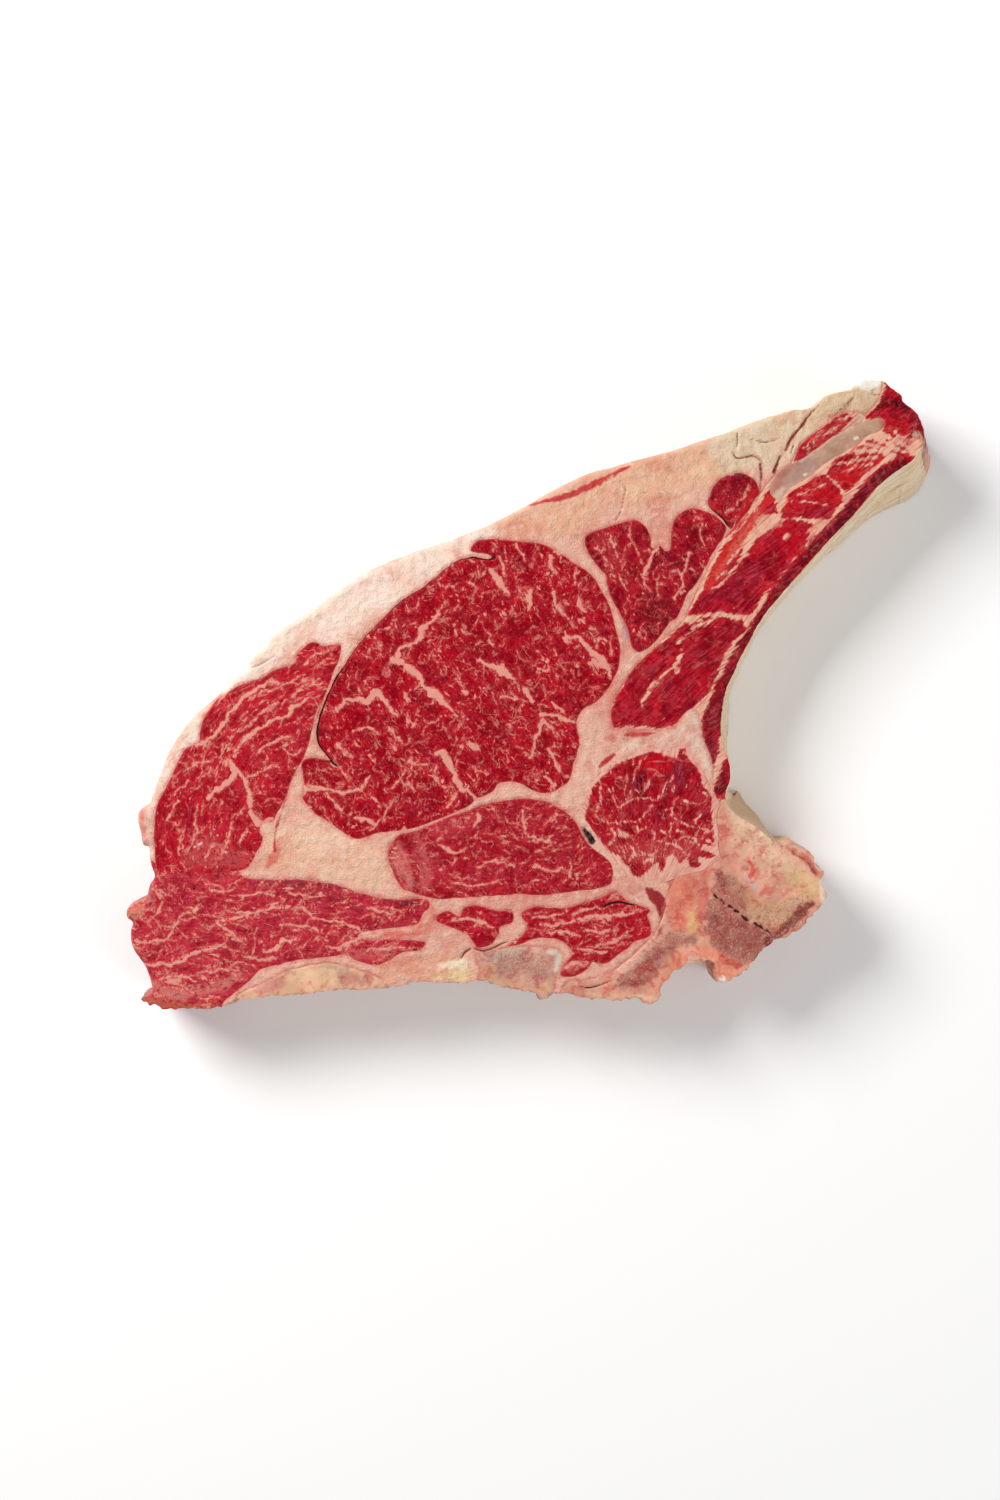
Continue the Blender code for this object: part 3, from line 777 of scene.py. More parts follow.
EYE_VEINS = (
    ((-52.9, 13, 2.5), (-49.3, 12.5, 2.5), (-45.8, 9.9, 2.8), (-42.3, 6.4, 3), (-39.6, 2.8, 3.2),
     (-36.1, 0.2, 3.5), (-33.5, -2.4, 2.5), (-30.8, -5.1, 1.2), (-27.7, -8.6, 0.8)),
    ((-51.1, 14.3, 2), (-49.3, 17.8, 1.6), (-45.8, 19.2, 1.4), (-42.3, 22.2, 1.8), (-41.4, 25.8, 2.4),
     (-38.8, 27.5, 1.4), (-35.2, 30.2, 1), (-33.9, 34.6, 0.7)),
    ((-74, -5.1, 1), (-70.5, -2.4, 1.6), (-66.1, -1.6, 1.8), (-62.6, -2.4, 2.2), (-59, 1.1, 2.8),
     (-55.5, -2.4, 1.8), (-52.9, -6, 1.2), (-51.1, -8.6, 0.8)),
    ((13.3, 22.2, 1), (17.7, 21.8, 1.6), (21.2, 19.6, 2), (23.8, 16.1, 2.6), (27.4, 13.4, 2.6),
     (30.9, 9.9, 2.2), (31.3, 7.3, 1.2)),
    ((25.6, 17.8, 1), (27.4, 22.2, 0.8)), ((31.3, 15.2, 0.9), (30.9, 21.4, 0.8)),
    ((-19.4, 13.4, 1), (-15, 11.7, 2), (-11.4, 9.9, 3), (-7.9, 8.1, 2.4), (-5.3, 5.9, 1)),
    ((-15, 47.8, 1.6), (-12.3, 44.3, 2.6), (-9.7, 40.8, 2), (-8.3, 38.1, 1)),
    ((-11.4, 53.1, 1), (-10.1, 49.6, 1), (-10.1, 46, 0.8)), ((-23.8, 43, 0.8), (-18.5, 40.8, 0.6)),
    ((0.4, 39.4, 2.4), (-0.4, 35.2, 3)), ((9.3, 39.9, 2), (10.6, 33.7, 1.4), (14.1, 30.2, 0.8)),
    ((8, 53.1, 1.6), (8.8, 47.8, 1)), ((-5.3, 57.5, 0.8), (-1.3, 51.3, 0.7)),
    ((17.7, 48.7, 1), (17.7, 42.5, 0.8)),
    ((4.4, -7.7, 1.4), (8.8, -7.7, 1.4), (13.3, -9.5, 1.4), (18.5, -10.4, 1.2)),
    ((4.9, -9.5, 1.3), (4, -13.9, 1.2), (1.8, -19.2, 1.1), (0.5, -24.5, 0.8)),
    ((5.3, -10.4, 1.3), (8.8, -12.6, 1.1), (11.5, -14.8, 0.8)),
    ((7.5, -21, 1.4), (9.7, -25.4, 1.3), (11.5, -28.9, 0.9)),
    ((-36.1, -22.7, 1.5), (-33.5, -21.8, 2.5), (-31.7, -25.4, 2.8), (-29.1, -29.8, 2.4), (-26.9, -34.2, 2),
     (-22.9, -38.2, 1.6), (-19.8, -40.8, 1.6)),
    ((-1.7, 2, 2.2), (0.9, -2.4, 1.8)), ((-11.4, -0.7, 0.9), (-1.7, -2, 0.8)),
    ((-25.2, 1.4, 1.6), (-24.2, 0.8, 1.4)), ((-46.7, -25.4, 1), (-38.8, -26.3, 0.8)),
    ((-35.2, -27.1, 0.8), (-36.1, -30.7, 0.8), (-33.5, -35.5, 0.8), (-29.5, -35.5, 0.6)),
    ((-52.9, -36, 0.9), (-49.3, -31.5, 0.9), (-47.6, -28, 0.7)),
    ((-31.7, -43, 1), (-28.2, -38.6, 0.9), (-27.3, -36.8, 0.7)),
    ((-53.7, -13, 1.3), (-50.2, -17.4, 1.2), (-49.3, -20.1, 0.8)),
    ((-67, -13.9, 0.8), (-61.7, -12.6, 0.9), (-57.3, -14.8, 0.7)),
    ((-74, -19.2, 1), (-71.4, -21.8, 1), (-67.9, -24, 0.7)),
    ((-67, -47.4, 1.4), (-61.7, -48.3, 1.3), (-58.2, -50, 0.9)),
    ((-77.6, -38.2, 1), (-74.9, -42.1, 1), (-72.3, -43.9, 0.8)),
    ((-61.7, -51.8, 0.9), (-57.7, -49.2, 0.9), (-54.6, -43.9, 0.9), (-53.3, -40.4, 0.7)),
    ((-87.5, -36.1, 2.2), (-79.3, -36.1, 1.6), (-72.3, -37.3, 1.3), (-67, -36.8, 1.2), (-63.4, -35.1, 1.1),
     (-61.7, -31.5, 0.8)),
    ((-80.2, -35.6, 1.2), (-84.6, -34.6, 1.4)), ((-76, -26.6, 1), (-72, -29, 0.8), (-69, -33, 0.6)),
)
EYE_EDGE = (                     # the slit between the eye and the fat to its left, painted near black as the shade in it
    ((-13.2, 54.4, 0.3), (-13.6, 52.6, 0.9), (-17.6, 52.4, 1.0), (-22, 53, 0.8), (-28, 51.5, 0.6),
     (-34.4, 47, 0.5), (-40.5, 41.8, 0.5), (-47.6, 37.2, 0.4), (-54.6, 31.3, 0.5), (-61, 24.8, 0.5),
     (-67, 18, 0.6), (-72.4, 9.8, 0.7), (-76.7, 2.1, 1.0), (-79.6, -5, 1.3), (-81.3, -9.5, 1.6),
     (-81.9, -14.8, 1.7), (-81, -19.3, 1.3), (-78.2, -22.9, 1.0), (-75.3, -26.2, 0.9), (-73, -28, 0.3)),
    ((-4.1, -35.6, 0.5), (-1, -35.4, 0.9), (1.7, -36.6, 0.4)),
)


def eye_flow(x, y):
    """Which way the thin veins of the eye muscle run, in radians."""
    return math.radians(-58) + 0.9 * math.sin(0.035 * x) + 0.5 * math.cos(0.05 * y + 0.4)


lean_red = lean_material("lean_red", (136, 0, 18), (176, 6, 30))
lean_piece("eye_muscle", (EYE_OUTLINE,), lean_red, veins=EYE_VEINS,
           strewn=(190, (1.5, 6), (0.2, 0.8), eye_flow, 3), grain=straight_grain(-55), cracks=EYE_EDGE)

# ----------------------------------------
# The cap: the muscle that wraps the eye on the outer side. Its bundles run in arcs round the
# eye, with long pale veins between them. Below it runs straight into the back muscle.
CAP_OUTLINE = (
    (-89.7, 12.6), (-89.7, 15.2), (-84.9, 19.7), (-81.6, 20), (-79.4, 18.9), (-75, 19.4), (-72.4, 18.9),
    (-72.8, 14.4), (-75.7, 7.8), (-76.8, 4.2), (-79.4, -1.7), (-82.2, -6.9), (-83.6, -13.5), (-85.2, -20.1),
    (-87.8, -26), (-90.4, -30.4), (-92.2, -34.8), (-93.9, -39.9), (-96.6, -44.5), (-98.7, -48.3),
    (-102.1, -49), (-103.6, -52.4), (-102.5, -54.6), (-103.2, -57.6), (-104.7, -60.5), (-106.2, -63.4),
    (-108.8, -66.4), (-115.4, -67.6), (-127, -68.6), (-138, -68.4), (-143.2, -66.5), (-143.8, -60),
    (-144, -53.9), (-143.7, -46.5), (-142.6, -41.4), (-139.6, -35.5), (-136.7, -29.6), (-134.5, -24.5),
    (-131.9, -20.5), (-129, -19.2), (-127, -17.6), (-126.8, -14.9), (-125.7, -10.5), (-122.7, -4.7),
    (-120.1, -1), (-116.1, 1.2), (-111.7, 3.4), (-107.3, 5.3), (-102.9, 6.7), (-98.5, 9.3), (-94.1, 10.8),
)
CAP_VEINS = (
    ((-127.9, -19.4, 1.4), (-124.2, -17.9, 1.8), (-120.5, -15, 1.8), (-117.2, -10.5, 1.8),
     (-113.2, -5.4, 1.8), (-110.2, -1.7, 1.8), (-106.6, 1.2, 2), (-102.1, 4.2, 1.8), (-98.5, 5.3, 1.4),
     (-96.3, 4.5, 1)),
    ((-113.2, -22.3, 1.3), (-110.2, -17.9, 1.6), (-105.8, -14.2, 1.8), (-101.4, -11.3, 2),
     (-97.7, -9.1, 1.8), (-93.3, -8.3, 1.6), (-91.1, -5.4, 1.8), (-87.5, -2.8, 1.3), (-84.5, -0.6, 1)),
    ((-123.5, -39.2, 2), (-120.5, -37, 2.5), (-117.2, -34.4, 2.8), (-114.3, -31.8, 3), (-113.2, -29.6, 3.2),
     (-114.6, -26.7, 2.4), (-115.4, -24.5, 1.6)),
    ((-113.2, -28.2, 1.8), (-110.2, -31.1, 2), (-108.2, -34.8, 2.2), (-107.6, -40.7, 2.4),
     (-106.4, -46.5, 2.8), (-103.8, -50.2, 3)),
    ((-109, -32, 1.3), (-105, -30, 1.3), (-101, -28, 1.2), (-97, -27, 0.8)),
    ((-99, -47, 1.6), (-102, -50, 2.4)), ((-108, -12, 0.8), (-102, -6, 1), (-96, -3, 0.8)),
    ((-119, -24, 0.8), (-114, -17, 1), (-108, -12, 0.8)), ((-100, 1, 0.9), (-92, 5, 1), (-86, 8, 0.7)),
    ((-104, -22, 0.9), (-98, -18, 1.1), (-92, -16, 0.8)), ((-86, 12, 0.9), (-82, 16, 1), (-77, 17, 0.8)),
    ((-133, -30, 0.7), (-128, -26, 0.9), (-122, -25, 0.7)), ((-136, -38, 0.7), (-131, -33, 0.9)),
    ((-95, -21, 0.8), (-91, -23, 1), (-88, -21, 0.7)), ((-139, -48, 0.7), (-135, -41, 0.9)),
    ((-131, -60, 0.9), (-128, -53, 1), (-128, -47, 0.7)),
    ((-118, -62, 0.8), (-115, -55, 1), (-114, -48, 0.7)), ((-124, -64, 0.7), (-121, -57, 0.9)),
    ((-111, -57, 1.2), (-108, -52, 1.2)), ((-107, -2, 0.8), (-101, 2, 0.8)),
    ((-92, -1, 0.9), (-87, 3, 1), (-83, 4, 0.7)),
)
RING_CENTRE = (-62.0, -60.0)     # the arcs of the cap's bundles go round this point


def cap_flow(x, y):
    """Which way the bundles of the cap run, in radians."""
    return math.atan2(y - RING_CENTRE[1], x - RING_CENTRE[0]) - math.pi / 2


lean_streaked = lean_material("lean_streaked", (152, 4, 24), (190, 20, 42), thread_size=6.5, threads=0.55,
                              flecks=0.4, streak=0.5, fibre_scale=1.3, fibre_thin=0.16)
# Small near-white specks on the cap: partly bits of fat, partly painted highlights of wet sparkle.
WHITE_SPECKS = (
    (-128.6, -58.2, 1), (-127.2, -57.4, 0.8), (-129.6, -57.2, 0.5), (-126.2, -57, 0.5),
    (-119.8, -53.8, 0.8), (-118.6, -54.4, 0.4), (-128, -60, 0.4), (-116, -55.4, 0.3), (-121, -51.6, 0.3),
)
CAP_TO_BACK = ((1.0, 3, ((-140, -67.6, 5), (-128, -68.4, 5), (-118, -67.6, 5), (-111, -66.8, 4))),)
CAP_DABS = (
    ((206, 96, 96), 0.45, 5, ((-128, -60, 10), (-112, -62, 8))),
    ((150, 12, 20), 0.5, 3, (-101, -42, 8)),
    *(((250, 238, 232), 1.0, 0.3, spot) for spot in WHITE_SPECKS),
    ((196, 30, 40), 0.45, 4, ((-80, 14, 6), (-88, 6, 8))),
)
lean_piece("cap_muscle", (CAP_OUTLINE,), lean_streaked, grain=ring_grain(RING_CENTRE, 58),
           veins=CAP_VEINS, thin=0.85, strewn=(90, (3, 9), (0.2, 0.6), cap_flow, 7, 0.3),
           grown=CAP_TO_BACK, dabs=CAP_DABS,
           cracks=(((-93.2, -40.5, 0.3), (-94.8, -43.6, 0.5), (-96.3, -47.3, 0.3)),))

# ----------------------------------------
# The inner muscle: a flat oval one under the eye, with a fine, even, slightly wavy grain. Its
# left end is pale where fat has grown into it.
INNER_OUTLINE = (
    (-52.1, -55.8), (-49.5, -53.6), (-44.2, -52.3), (-38, -50), (-31, -46.9), (-23.9, -44.5),
    (-17.7, -42.2), (-10.7, -40.6), (-2.7, -39.8), (4.3, -40.4), (9.6, -42.2), (14.9, -45.6), (17.8, -49),
    (19.8, -52.6), (22.4, -56.8), (25.6, -59.6), (29.4, -62.4), (31.6, -65.5), (32.1, -69), (30.7, -72.6),
    (25.5, -74.3), (18.4, -75.2), (11.4, -76.1), (4.3, -77), (-4.5, -76.5), (-11.6, -77), (-19.5, -77.4),
    (-27.4, -77.9), (-34.5, -78.3), (-39.8, -77.4), (-44.2, -76.1), (-48.6, -74.3), (-51.2, -70.8),
    (-53.4, -65.5), (-54.3, -61.1), (-53.4, -57.6),
)
INNER_VEINS = (
    ((15.8, -64.2, 1.1), (16.1, -66.5, 1.2), (15.4, -69, 1)),
    ((-21, -50, 1.2), (-19.5, -47.5, 1.8), (-20, -46, 1)), ((-2.5, -45, 1), (-2, -50, 1), (-1, -53, 0.8)),
    ((0, -54, 1), (6, -56, 1.2), (9, -54, 0.9)), ((-20, -66, 0.8), (-12, -64, 1), (-6, -66, 0.8)),
    ((-30, -72, 0.8), (-20, -73, 1), (-12, -71, 0.7)), ((2, -65, 0.8), (8, -68, 1), (13, -66, 0.8)),
    ((-35, -58, 0.9), (-28, -60, 1), (-24, -58, 0.7)),
)


def inner_flow(x, y):
    """Which way the thin veins of the inner muscle run, in radians."""
    return 0.06 + 0.5 * math.sin(x / 9) * math.cos(y / 8)


lean_fine = lean_material("lean_fine", (148, 8, 26), (180, 26, 46), thread_size=4.6, threads=0.6,
                          flecks=0.3, streak=0.55, fibre_scale=1.6, fibre_thin=0.35)
INNER_DABS = (
    ((216, 130, 120), 0.85, 4, ((-50, -58, 4), (-48, -66, 5), (-46, -73, 4))),
    ((226, 120, 104), 0.8, 1.2, ((-49.6, -70.6, 1), (-48, -72.4, 1.6))),
    ((208, 106, 108), 0.65, 4, ((-43, -54, 5), (-40, -65, 6), (-40, -74, 4))),
    ((196, 70, 82), 0.4, 5, ((-36, -52, 6), (-20, -47, 5))),
)
lean_piece("inner_muscle", (INNER_OUTLINE,), lean_fine, grain=straight_grain(3, 1.2),
           veins=INNER_VEINS, strewn=(80, (1.5, 5), (0.2, 0.6), inner_flow, 9), dabs=INNER_DABS)

# ----------------------------------------
# The chine strip: two short muscles between the oval one and the sawn back, which run along
# the cut with seams of fat between their bundles.
CHINE_LEFT = (
    (-35.8, -84.9), (-31, -83.1), (-27, -84.9), (-24.8, -81.4), (-19.5, -80.9), (-13.3, -82.7),
    (-6.7, -83.3), (-6.7, -87.1), (-11.2, -89.3), (-12, -92.2), (-14.6, -95.6), (-19.5, -97),
    (-21.7, -94.6), (-23.5, -92.4), (-27.4, -90.4), (-31.8, -88.6), (-35.4, -87.1),
)
CHINE_RIGHT = (
    (-3.2, -84), (2.5, -81.4), (9.6, -81.8), (15.8, -81.4), (21.9, -79.2), (27.2, -77.9), (31.6, -75.9),
    (35.2, -77), (37.8, -79.2), (43.1, -81), (46.4, -82.7), (45.3, -84.9), (46.4, -88), (46.8, -91.1),
    (44.9, -93.3), (40.4, -94.6), (37.8, -97.2), (35.2, -99), (30.7, -102.5), (27.2, -103.4),
    (24.1, -102.6), (22.4, -105.2), (17, -108), (12, -107.6), (13.2, -103.6), (16.4, -99.4), (14, -95.6),
    (10, -93.6), (3, -93.4), (-3, -95.4), (-8.4, -96.6), (-6, -94.6), (-2.4, -92), (-1, -88.4),
)
CHINE_VEINS = (
    ((4, -88.4, 0.8), (12, -88.2, 1.2), (18, -86.4, 1.4), (25, -85.6, 1.6), (32, -85.2, 1.5),
     (40, -83.6, 1.1)),
    ((1, -86, 0.8), (8, -85, 1.2), (13, -84.2, 0.8)), ((20, -90, 0.8), (27, -91.4, 1.3), (34, -90, 0.9)),
    ((25, -96.6, 0.8), (31, -95, 1.3), (37, -92, 0.9)), ((8, -91, 1), (14, -91.2, 1.4), (19, -93, 0.9)),
    ((-30, -86.6, 0.8), (-24, -86.2, 1.3), (-18, -87.6, 1.2), (-14, -89, 0.8)),
    ((17, -84.6, 0.8), (22, -82.4, 1.2), (28, -81.6, 0.8)),
    ((13.6, -104.4, 1), (18, -103, 1.6), (22, -103.6, 1)), ((19, -97.6, 1), (24, -98.4, 1.6), (29, -99, 1)),
)
CHINE_SLITS = (
    ((27.6, -82, 0.4), (30.7, -80.2, 0.9), (34.3, -79.5, 0.8), (37.8, -80.2, 0.9), (40.6, -80.6, 0.4)),
)
CHINE_DABS = (
    ((214, 132, 124), 0.6, 3, ((14, -105, 4), (20, -103, 4))),
    ((150, 8, 18), 0.5, 2, ((24, -80.6, 3), (34, -81.4, 3))),
)
lean_piece("chine_muscle", (CHINE_LEFT, CHINE_RIGHT), lean_streaked, grain=straight_grain(8, 0.6),
           veins=CHINE_VEINS, strewn=(40, (2, 6), (0.2, 0.6), lambda x, y: 0.15, 13, 0.4),
           cracks=CHINE_SLITS, dabs=CHINE_DABS)

# ----------------------------------------
# The joint muscle: a dark, clear red one against the backbone. Its upper part has long flames
# of fibre that fan out upwards, its lower part is broken up by pale fat.
JOINT_OUTLINE = (
    (20.6, -44), (21.8, -39), (23, -35.5), (25, -32.6), (27.6, -29.8), (30.4, -27.6), (33.4, -25.4),
    (37, -23.8), (41, -22.2), (45, -20.8), (50, -20.8), (54, -22), (56, -20.4), (58.4, -18.8),
    (60.8, -20.2), (63, -23.8), (66, -27.4), (67.6, -31.6), (69.6, -35.4), (71.6, -39.4), (71.6, -46),
    (72, -53), (72.4, -58), (73, -62), (70, -64.8), (66, -67.4), (62, -68.4), (57.6, -69.6), (54, -71),
    (51, -72), (47.6, -71), (43, -72), (39.6, -71.6), (37, -68.6), (34, -65), (31.4, -61.8), (28.8, -58.6),
    (26, -54.8), (23.4, -50.8), (20.8, -47.4),
)
JOINT_LEAN = (
    (22, -44), (23, -40), (24, -36.5), (25.4, -34), (28, -31.2), (30.4, -29.4), (33, -27), (36.4, -25.4),
    (40, -24.2), (43.4, -22.8), (47, -22), (50.4, -22.4), (53.4, -23.6), (56.4, -24.2), (57, -21.8),
    (58.4, -20.4), (60, -21.8), (61.6, -24.8), (64, -27.8), (65.8, -31), (66.4, -34.6), (68.8, -37),
    (70, -40.6), (70, -45), (70.6, -50), (70.8, -55), (70.2, -58), (67, -57.4), (65.6, -59.4), (69, -60.4),
    (71.4, -62), (67, -62.6), (64.6, -62), (65.6, -65.4), (62, -66), (60.6, -62.6), (57.8, -64.6),
    (55.4, -61.4), (52.4, -62.4), (52.2, -65.4), (50.4, -67.8), (49.4, -64.4), (47.2, -65.6), (45, -68),
    (42, -69.8), (39.6, -68.8), (38.4, -66), (36, -64.6), (34.6, -61.8), (31, -60), (28.6, -57.6),
    (26.4, -54.4), (23.6, -51), (21.4, -47),
)
JOINT_VEINS = (
    ((46, -22.5, 0.5), (43, -25, 0.6), (41.5, -28, 0.5), (40.3, -31, 0.5), (39.5, -34, 0.5),
     (38.8, -38, 0.4)),
    ((32, -35.5, 0.6), (32, -38, 0.8), (33, -41.5, 1.1), (35, -43, 1.2), (37.5, -41.5, 1), (41, -40, 0.8),
     (46, -40, 0.7), (49.5, -39.5, 0.8), (51, -36.5, 0.7), (53, -33.5, 0.6), (55.5, -30.5, 0.5)),
    ((48.5, -30, 0.4), (46, -33, 0.6), (44.5, -36, 0.5), (43, -38.5, 0.4)),
    ((32, -45, 0.7), (30.5, -47.5, 0.8), (32, -49, 1), (35, -49.3, 1), (40, -49, 0.9), (43, -47.5, 0.9),
     (45, -45, 0.8), (46.5, -42.5, 0.6)),
    ((27, -33, 0.6), (27.5, -37, 0.7), (28, -40, 0.6), (26, -44, 0.8), (25, -46.5, 1.1), (29, -48, 0.9)),
    ((38, -31, 0.4), (37, -35, 0.5), (36.5, -39, 0.4)), ((34.6, -31, 1.5), (35.2, -31.4, 1.5)),
    ((59, -40.4, 0.7), (62, -41.6, 0.9), (65, -42, 0.9), (68, -41, 0.7)), ((62, -33, 0.4), (60, -36, 0.5)),
    ((54, -44, 0.7), (56, -47, 0.8), (59, -49.6, 0.8), (63, -51, 0.7)), ((66, -37, 0.6), (69, -39, 0.9)),
    ((34, -52, 2), (36, -53.6, 3.2), (37.6, -54, 2)), ((50, -52, 1.6), (52.4, -53, 2.2)),
    ((61, -55, 1.2), (63.4, -55.6, 1.8), (64.4, -58, 1.6)),
    ((47, -51.6, 0.8), (48, -55, 1), (46.4, -58, 1)),
    ((53, -57.4, 1.4), (56, -58, 1.8), (58.5, -59.5, 1.5), (59.6, -61.6, 0.9)),
    ((31.6, -51, 0.8), (32.6, -54.6, 1.2), (30.6, -57.6, 1)), ((42, -52, 1), (44.6, -50.6, 1)),
    ((39, -57.6, 1), (40.6, -61, 1.3), (38.4, -63.4, 1)),
    ((42.6, -60, 0.9), (46, -62, 1.4), (48.6, -60.6, 1)), ((44, -64.4, 1.2), (47, -63.6, 2), (48, -62, 1)),
    ((36, -60, 0.9), (36.4, -62.6, 1.4)), ((66, -46, 1), (64, -49, 1.2), (67.6, -52, 1.2), (70, -51, 0.8)),
    ((68, -55.4, 1.2), (70.4, -57, 1.4)), ((57, -52.6, 0.8), (59.6, -54, 1.2), (57.6, -56, 0.9)),
)
JOINT_FATTY = ((0.945, 5, ((34, -59, 5), (42, -60, 8), (52, -60, 10), (62, -57, 9), (67, -52, 5))),)


def joint_flow(x, y):
    """Which way the thin veins of the joint muscle run, in radians."""
    return math.atan2(y + 82, x - 45) if y > -46 else 0.3


JOINT_TO_FAT = (
    (1.0, 3, ((22, -44, 4), (26, -33, 4), (36, -24.6, 4), (46, -21.4, 4), (58, -20, 4), (66, -29, 4),
     (71, -42, 4), (72, -56, 4), (60, -69, 6), (44, -71, 5), (33, -63, 4), (24, -51, 4), (21, -45, 4))),
)
lean_clear = lean_material("lean_clear", (132, 1, 18), (182, 8, 30), thread_size=7.5, threads=0.35,
                           flecks=0.0, streak=0.65, fat_colour=(228, 170, 152), fibre_scale=1.1,
                           fibre_thin=0.16, feather=0.8, bloody=0.7)
JOINT_DABS = (
    ((196, 0, 22), 0.75, 3, ((42, -26, 3), (47, -26, 6), (52, -27, 4))),
    ((96, 0, 16), 0.85, 2, ((43, -31.5, 4), (42, -35, 6), (43, -38, 4))),
    ((140, 26, 46), 0.8, 2, ((58.5, -23, 3), (57.6, -28, 4), (56, -34, 6), (53, -38, 5))),
    ((112, 2, 22), 0.8, 2, ((52.6, -40, 5), (50, -43.6, 6), (51, -46, 4))),
    ((168, 20, 40), 0.6, 2, ((36, -45, 4), (41, -43, 4.6), (44, -42, 3))),
    ((186, 6, 24), 0.6, 3, ((31, -32, 3), (28, -37, 4), (25, -43, 3))),
    ((160, 50, 62), 0.5, 2, ((63, -38, 4), (66, -40, 4))),
    ((198, 84, 84), 0.4, 4, ((36, -60, 7), (50, -60, 8), (62, -60, 7))),
)
lean_piece("joint_muscle", (JOINT_OUTLINE,), lean_clear, grain=ray_grain((45, -82), 42), lumps=0.2,
           lean_islands=(JOINT_LEAN,), fatty=JOINT_FATTY,
           veins=JOINT_VEINS, thin=0.62, strewn=(16, (2, 7), (0.05, 0.25), joint_flow, 17, 0.5),
           grown=JOINT_TO_FAT, dabs=JOINT_DABS)

# ----------------------------------------
# The plate muscle: three lobes beside the eye, on the side of the rib, dark and finely
# flecked, and the round lobe above them. Fat reaches in between the lobes.
PLATE_OUTLINE = (
    (22.7, 61.9), (27.9, 63.8), (33.8, 65.6), (38.9, 67.1), (42.6, 66.3), (45.5, 63.4), (46.6, 59.7),
    (46.6, 57), (48.4, 56.2), (50.4, 57.2), (52.1, 55.4), (54.1, 56.2), (54.4, 60), (54.7, 64.9),
    (57.3, 69.3), (61.7, 71.5), (66.1, 71.1), (70.5, 69.3), (73.6, 67), (75.6, 64), (74.4, 60.6),
    (72.4, 57.4), (70.2, 54), (68.2, 50), (66, 46), (63.4, 42), (61.4, 39.9), (59.8, 36.9), (58.4, 33.3),
    (56.5, 29.6), (54, 28.1), (51.4, 24.5), (48.4, 20.4), (44.8, 17.5), (41.8, 16.4), (39.3, 18.6),
    (38.2, 23), (36.7, 27.4), (34.5, 31.8), (32.3, 35.5), (30.1, 40.6), (29.3, 45.8), (25.7, 50.2),
    (22.7, 54.6), (21.3, 59.3),
)
PLATE_VEINS = (
    ((49.5, 57.2, 2.2), (47.6, 54.4, 1.9), (45.4, 50.4, 1.7), (44.2, 46.4, 1.6), (45, 42.4, 1.1),
     (46.6, 39.9, 0.8)),
    ((61.3, 54.6, 0.8), (60.6, 50.9, 1.2), (59.8, 47.2, 1.2), (58, 44.3, 0.8)),
    ((54, 47.2, 0.8), (57.3, 47.6, 0.9), (58.7, 43.6, 1), (56.4, 38, 0.9), (55.8, 35, 0.5)),
    ((25, 57, 0.8), (28, 54, 1), (32, 49, 0.7)), ((30, 62, 0.7), (32, 58, 1), (34, 54, 0.7)),
    ((38, 64, 0.7), (39, 60, 1), (41, 56, 0.7)), ((34, 47, 0.6), (36, 43, 0.9), (38, 40, 0.6)),
    ((50, 46, 0.6), (49, 42, 0.9), (50, 37, 0.6)), ((66, 66, 0.6), (65, 61, 0.8), (67, 57, 0.6)),
)
LOBE_OUTLINE = (
    (68.6, 74), (69.4, 77), (71, 80.5), (74, 83.4), (77.6, 84.9), (81, 85.3), (84, 84.4), (86.6, 82.2),
    (88, 79.6), (88.3, 77.4), (87, 75.6), (85.6, 73.6), (84.4, 71.2), (83, 69.2), (81, 67), (79, 64.8),
    (77.2, 63.8), (76, 65), (74.6, 66.8), (72.4, 69.2), (70, 71.4),
)


def plate_flow(x, y):
    """Which way the thin veins of the plate muscle run, in radians."""
    return math.radians(115) + 0.4 * math.sin(x / 8)


lean_dark = lean_material("lean_dark", (116, 1, 18), (170, 12, 34), thread_size=6.0, threads=0.3,
                          flecks=0.2, streak=0.35)
PLATE_DABS = (
    ((112, 14, 22), 0.75, 5, ((46, 36, 9), (51, 31, 8))),
    ((104, 12, 24), 0.6, 4, (55, 50, 7)),
    ((188, 56, 60), 0.45, 5, ((28, 60, 6), (33, 52, 9))),
)
lean_piece("plate_muscle", (PLATE_OUTLINE,), lean_dark, grain=straight_grain(112),
           veins=PLATE_VEINS, thin=0.8, strewn=(60, (1.5, 5), (0.15, 0.5), plate_flow, 19),
           dabs=PLATE_DABS, cracks=(((49.6, 57.4, 0.5), (51.2, 55.6, 0.4)),), lumps=0.16)
LOBE_DABS = (
    ((168, 24, 40), 0.5, 3, (77, 77, 9)),
    ((206, 30, 36), 0.8, 2, ((86, 78, 3), (83.6, 73.6, 3), (81, 69, 3))),
    # A dark purple-grey band along the lobe's upper edge: painted shade where the lobe meets the fat.
    ((96, 34, 48), 0.8, 1, ((76, 84, 1.4), (80, 84.6, 1.8), (84, 83.4, 1))),
)
lean_piece("lobe_muscle", (LOBE_OUTLINE,), lean_dark, grain=straight_grain(60),
           veins=(((80, 74, 0.5), (83, 77, 0.8), (84, 80, 0.6)), ((75, 70, 0.8), (78, 72, 0.8))),
           dabs=LOBE_DABS, lumps=0.2,
           cracks=(((68.8, 73.4, 0.3), (69.8, 71.6, 0.6), (71.6, 69.8, 0.9), (73.6, 67.8, 1.5),
                    (75.2, 66, 1.6), (76.2, 64.8, 0.7)),))

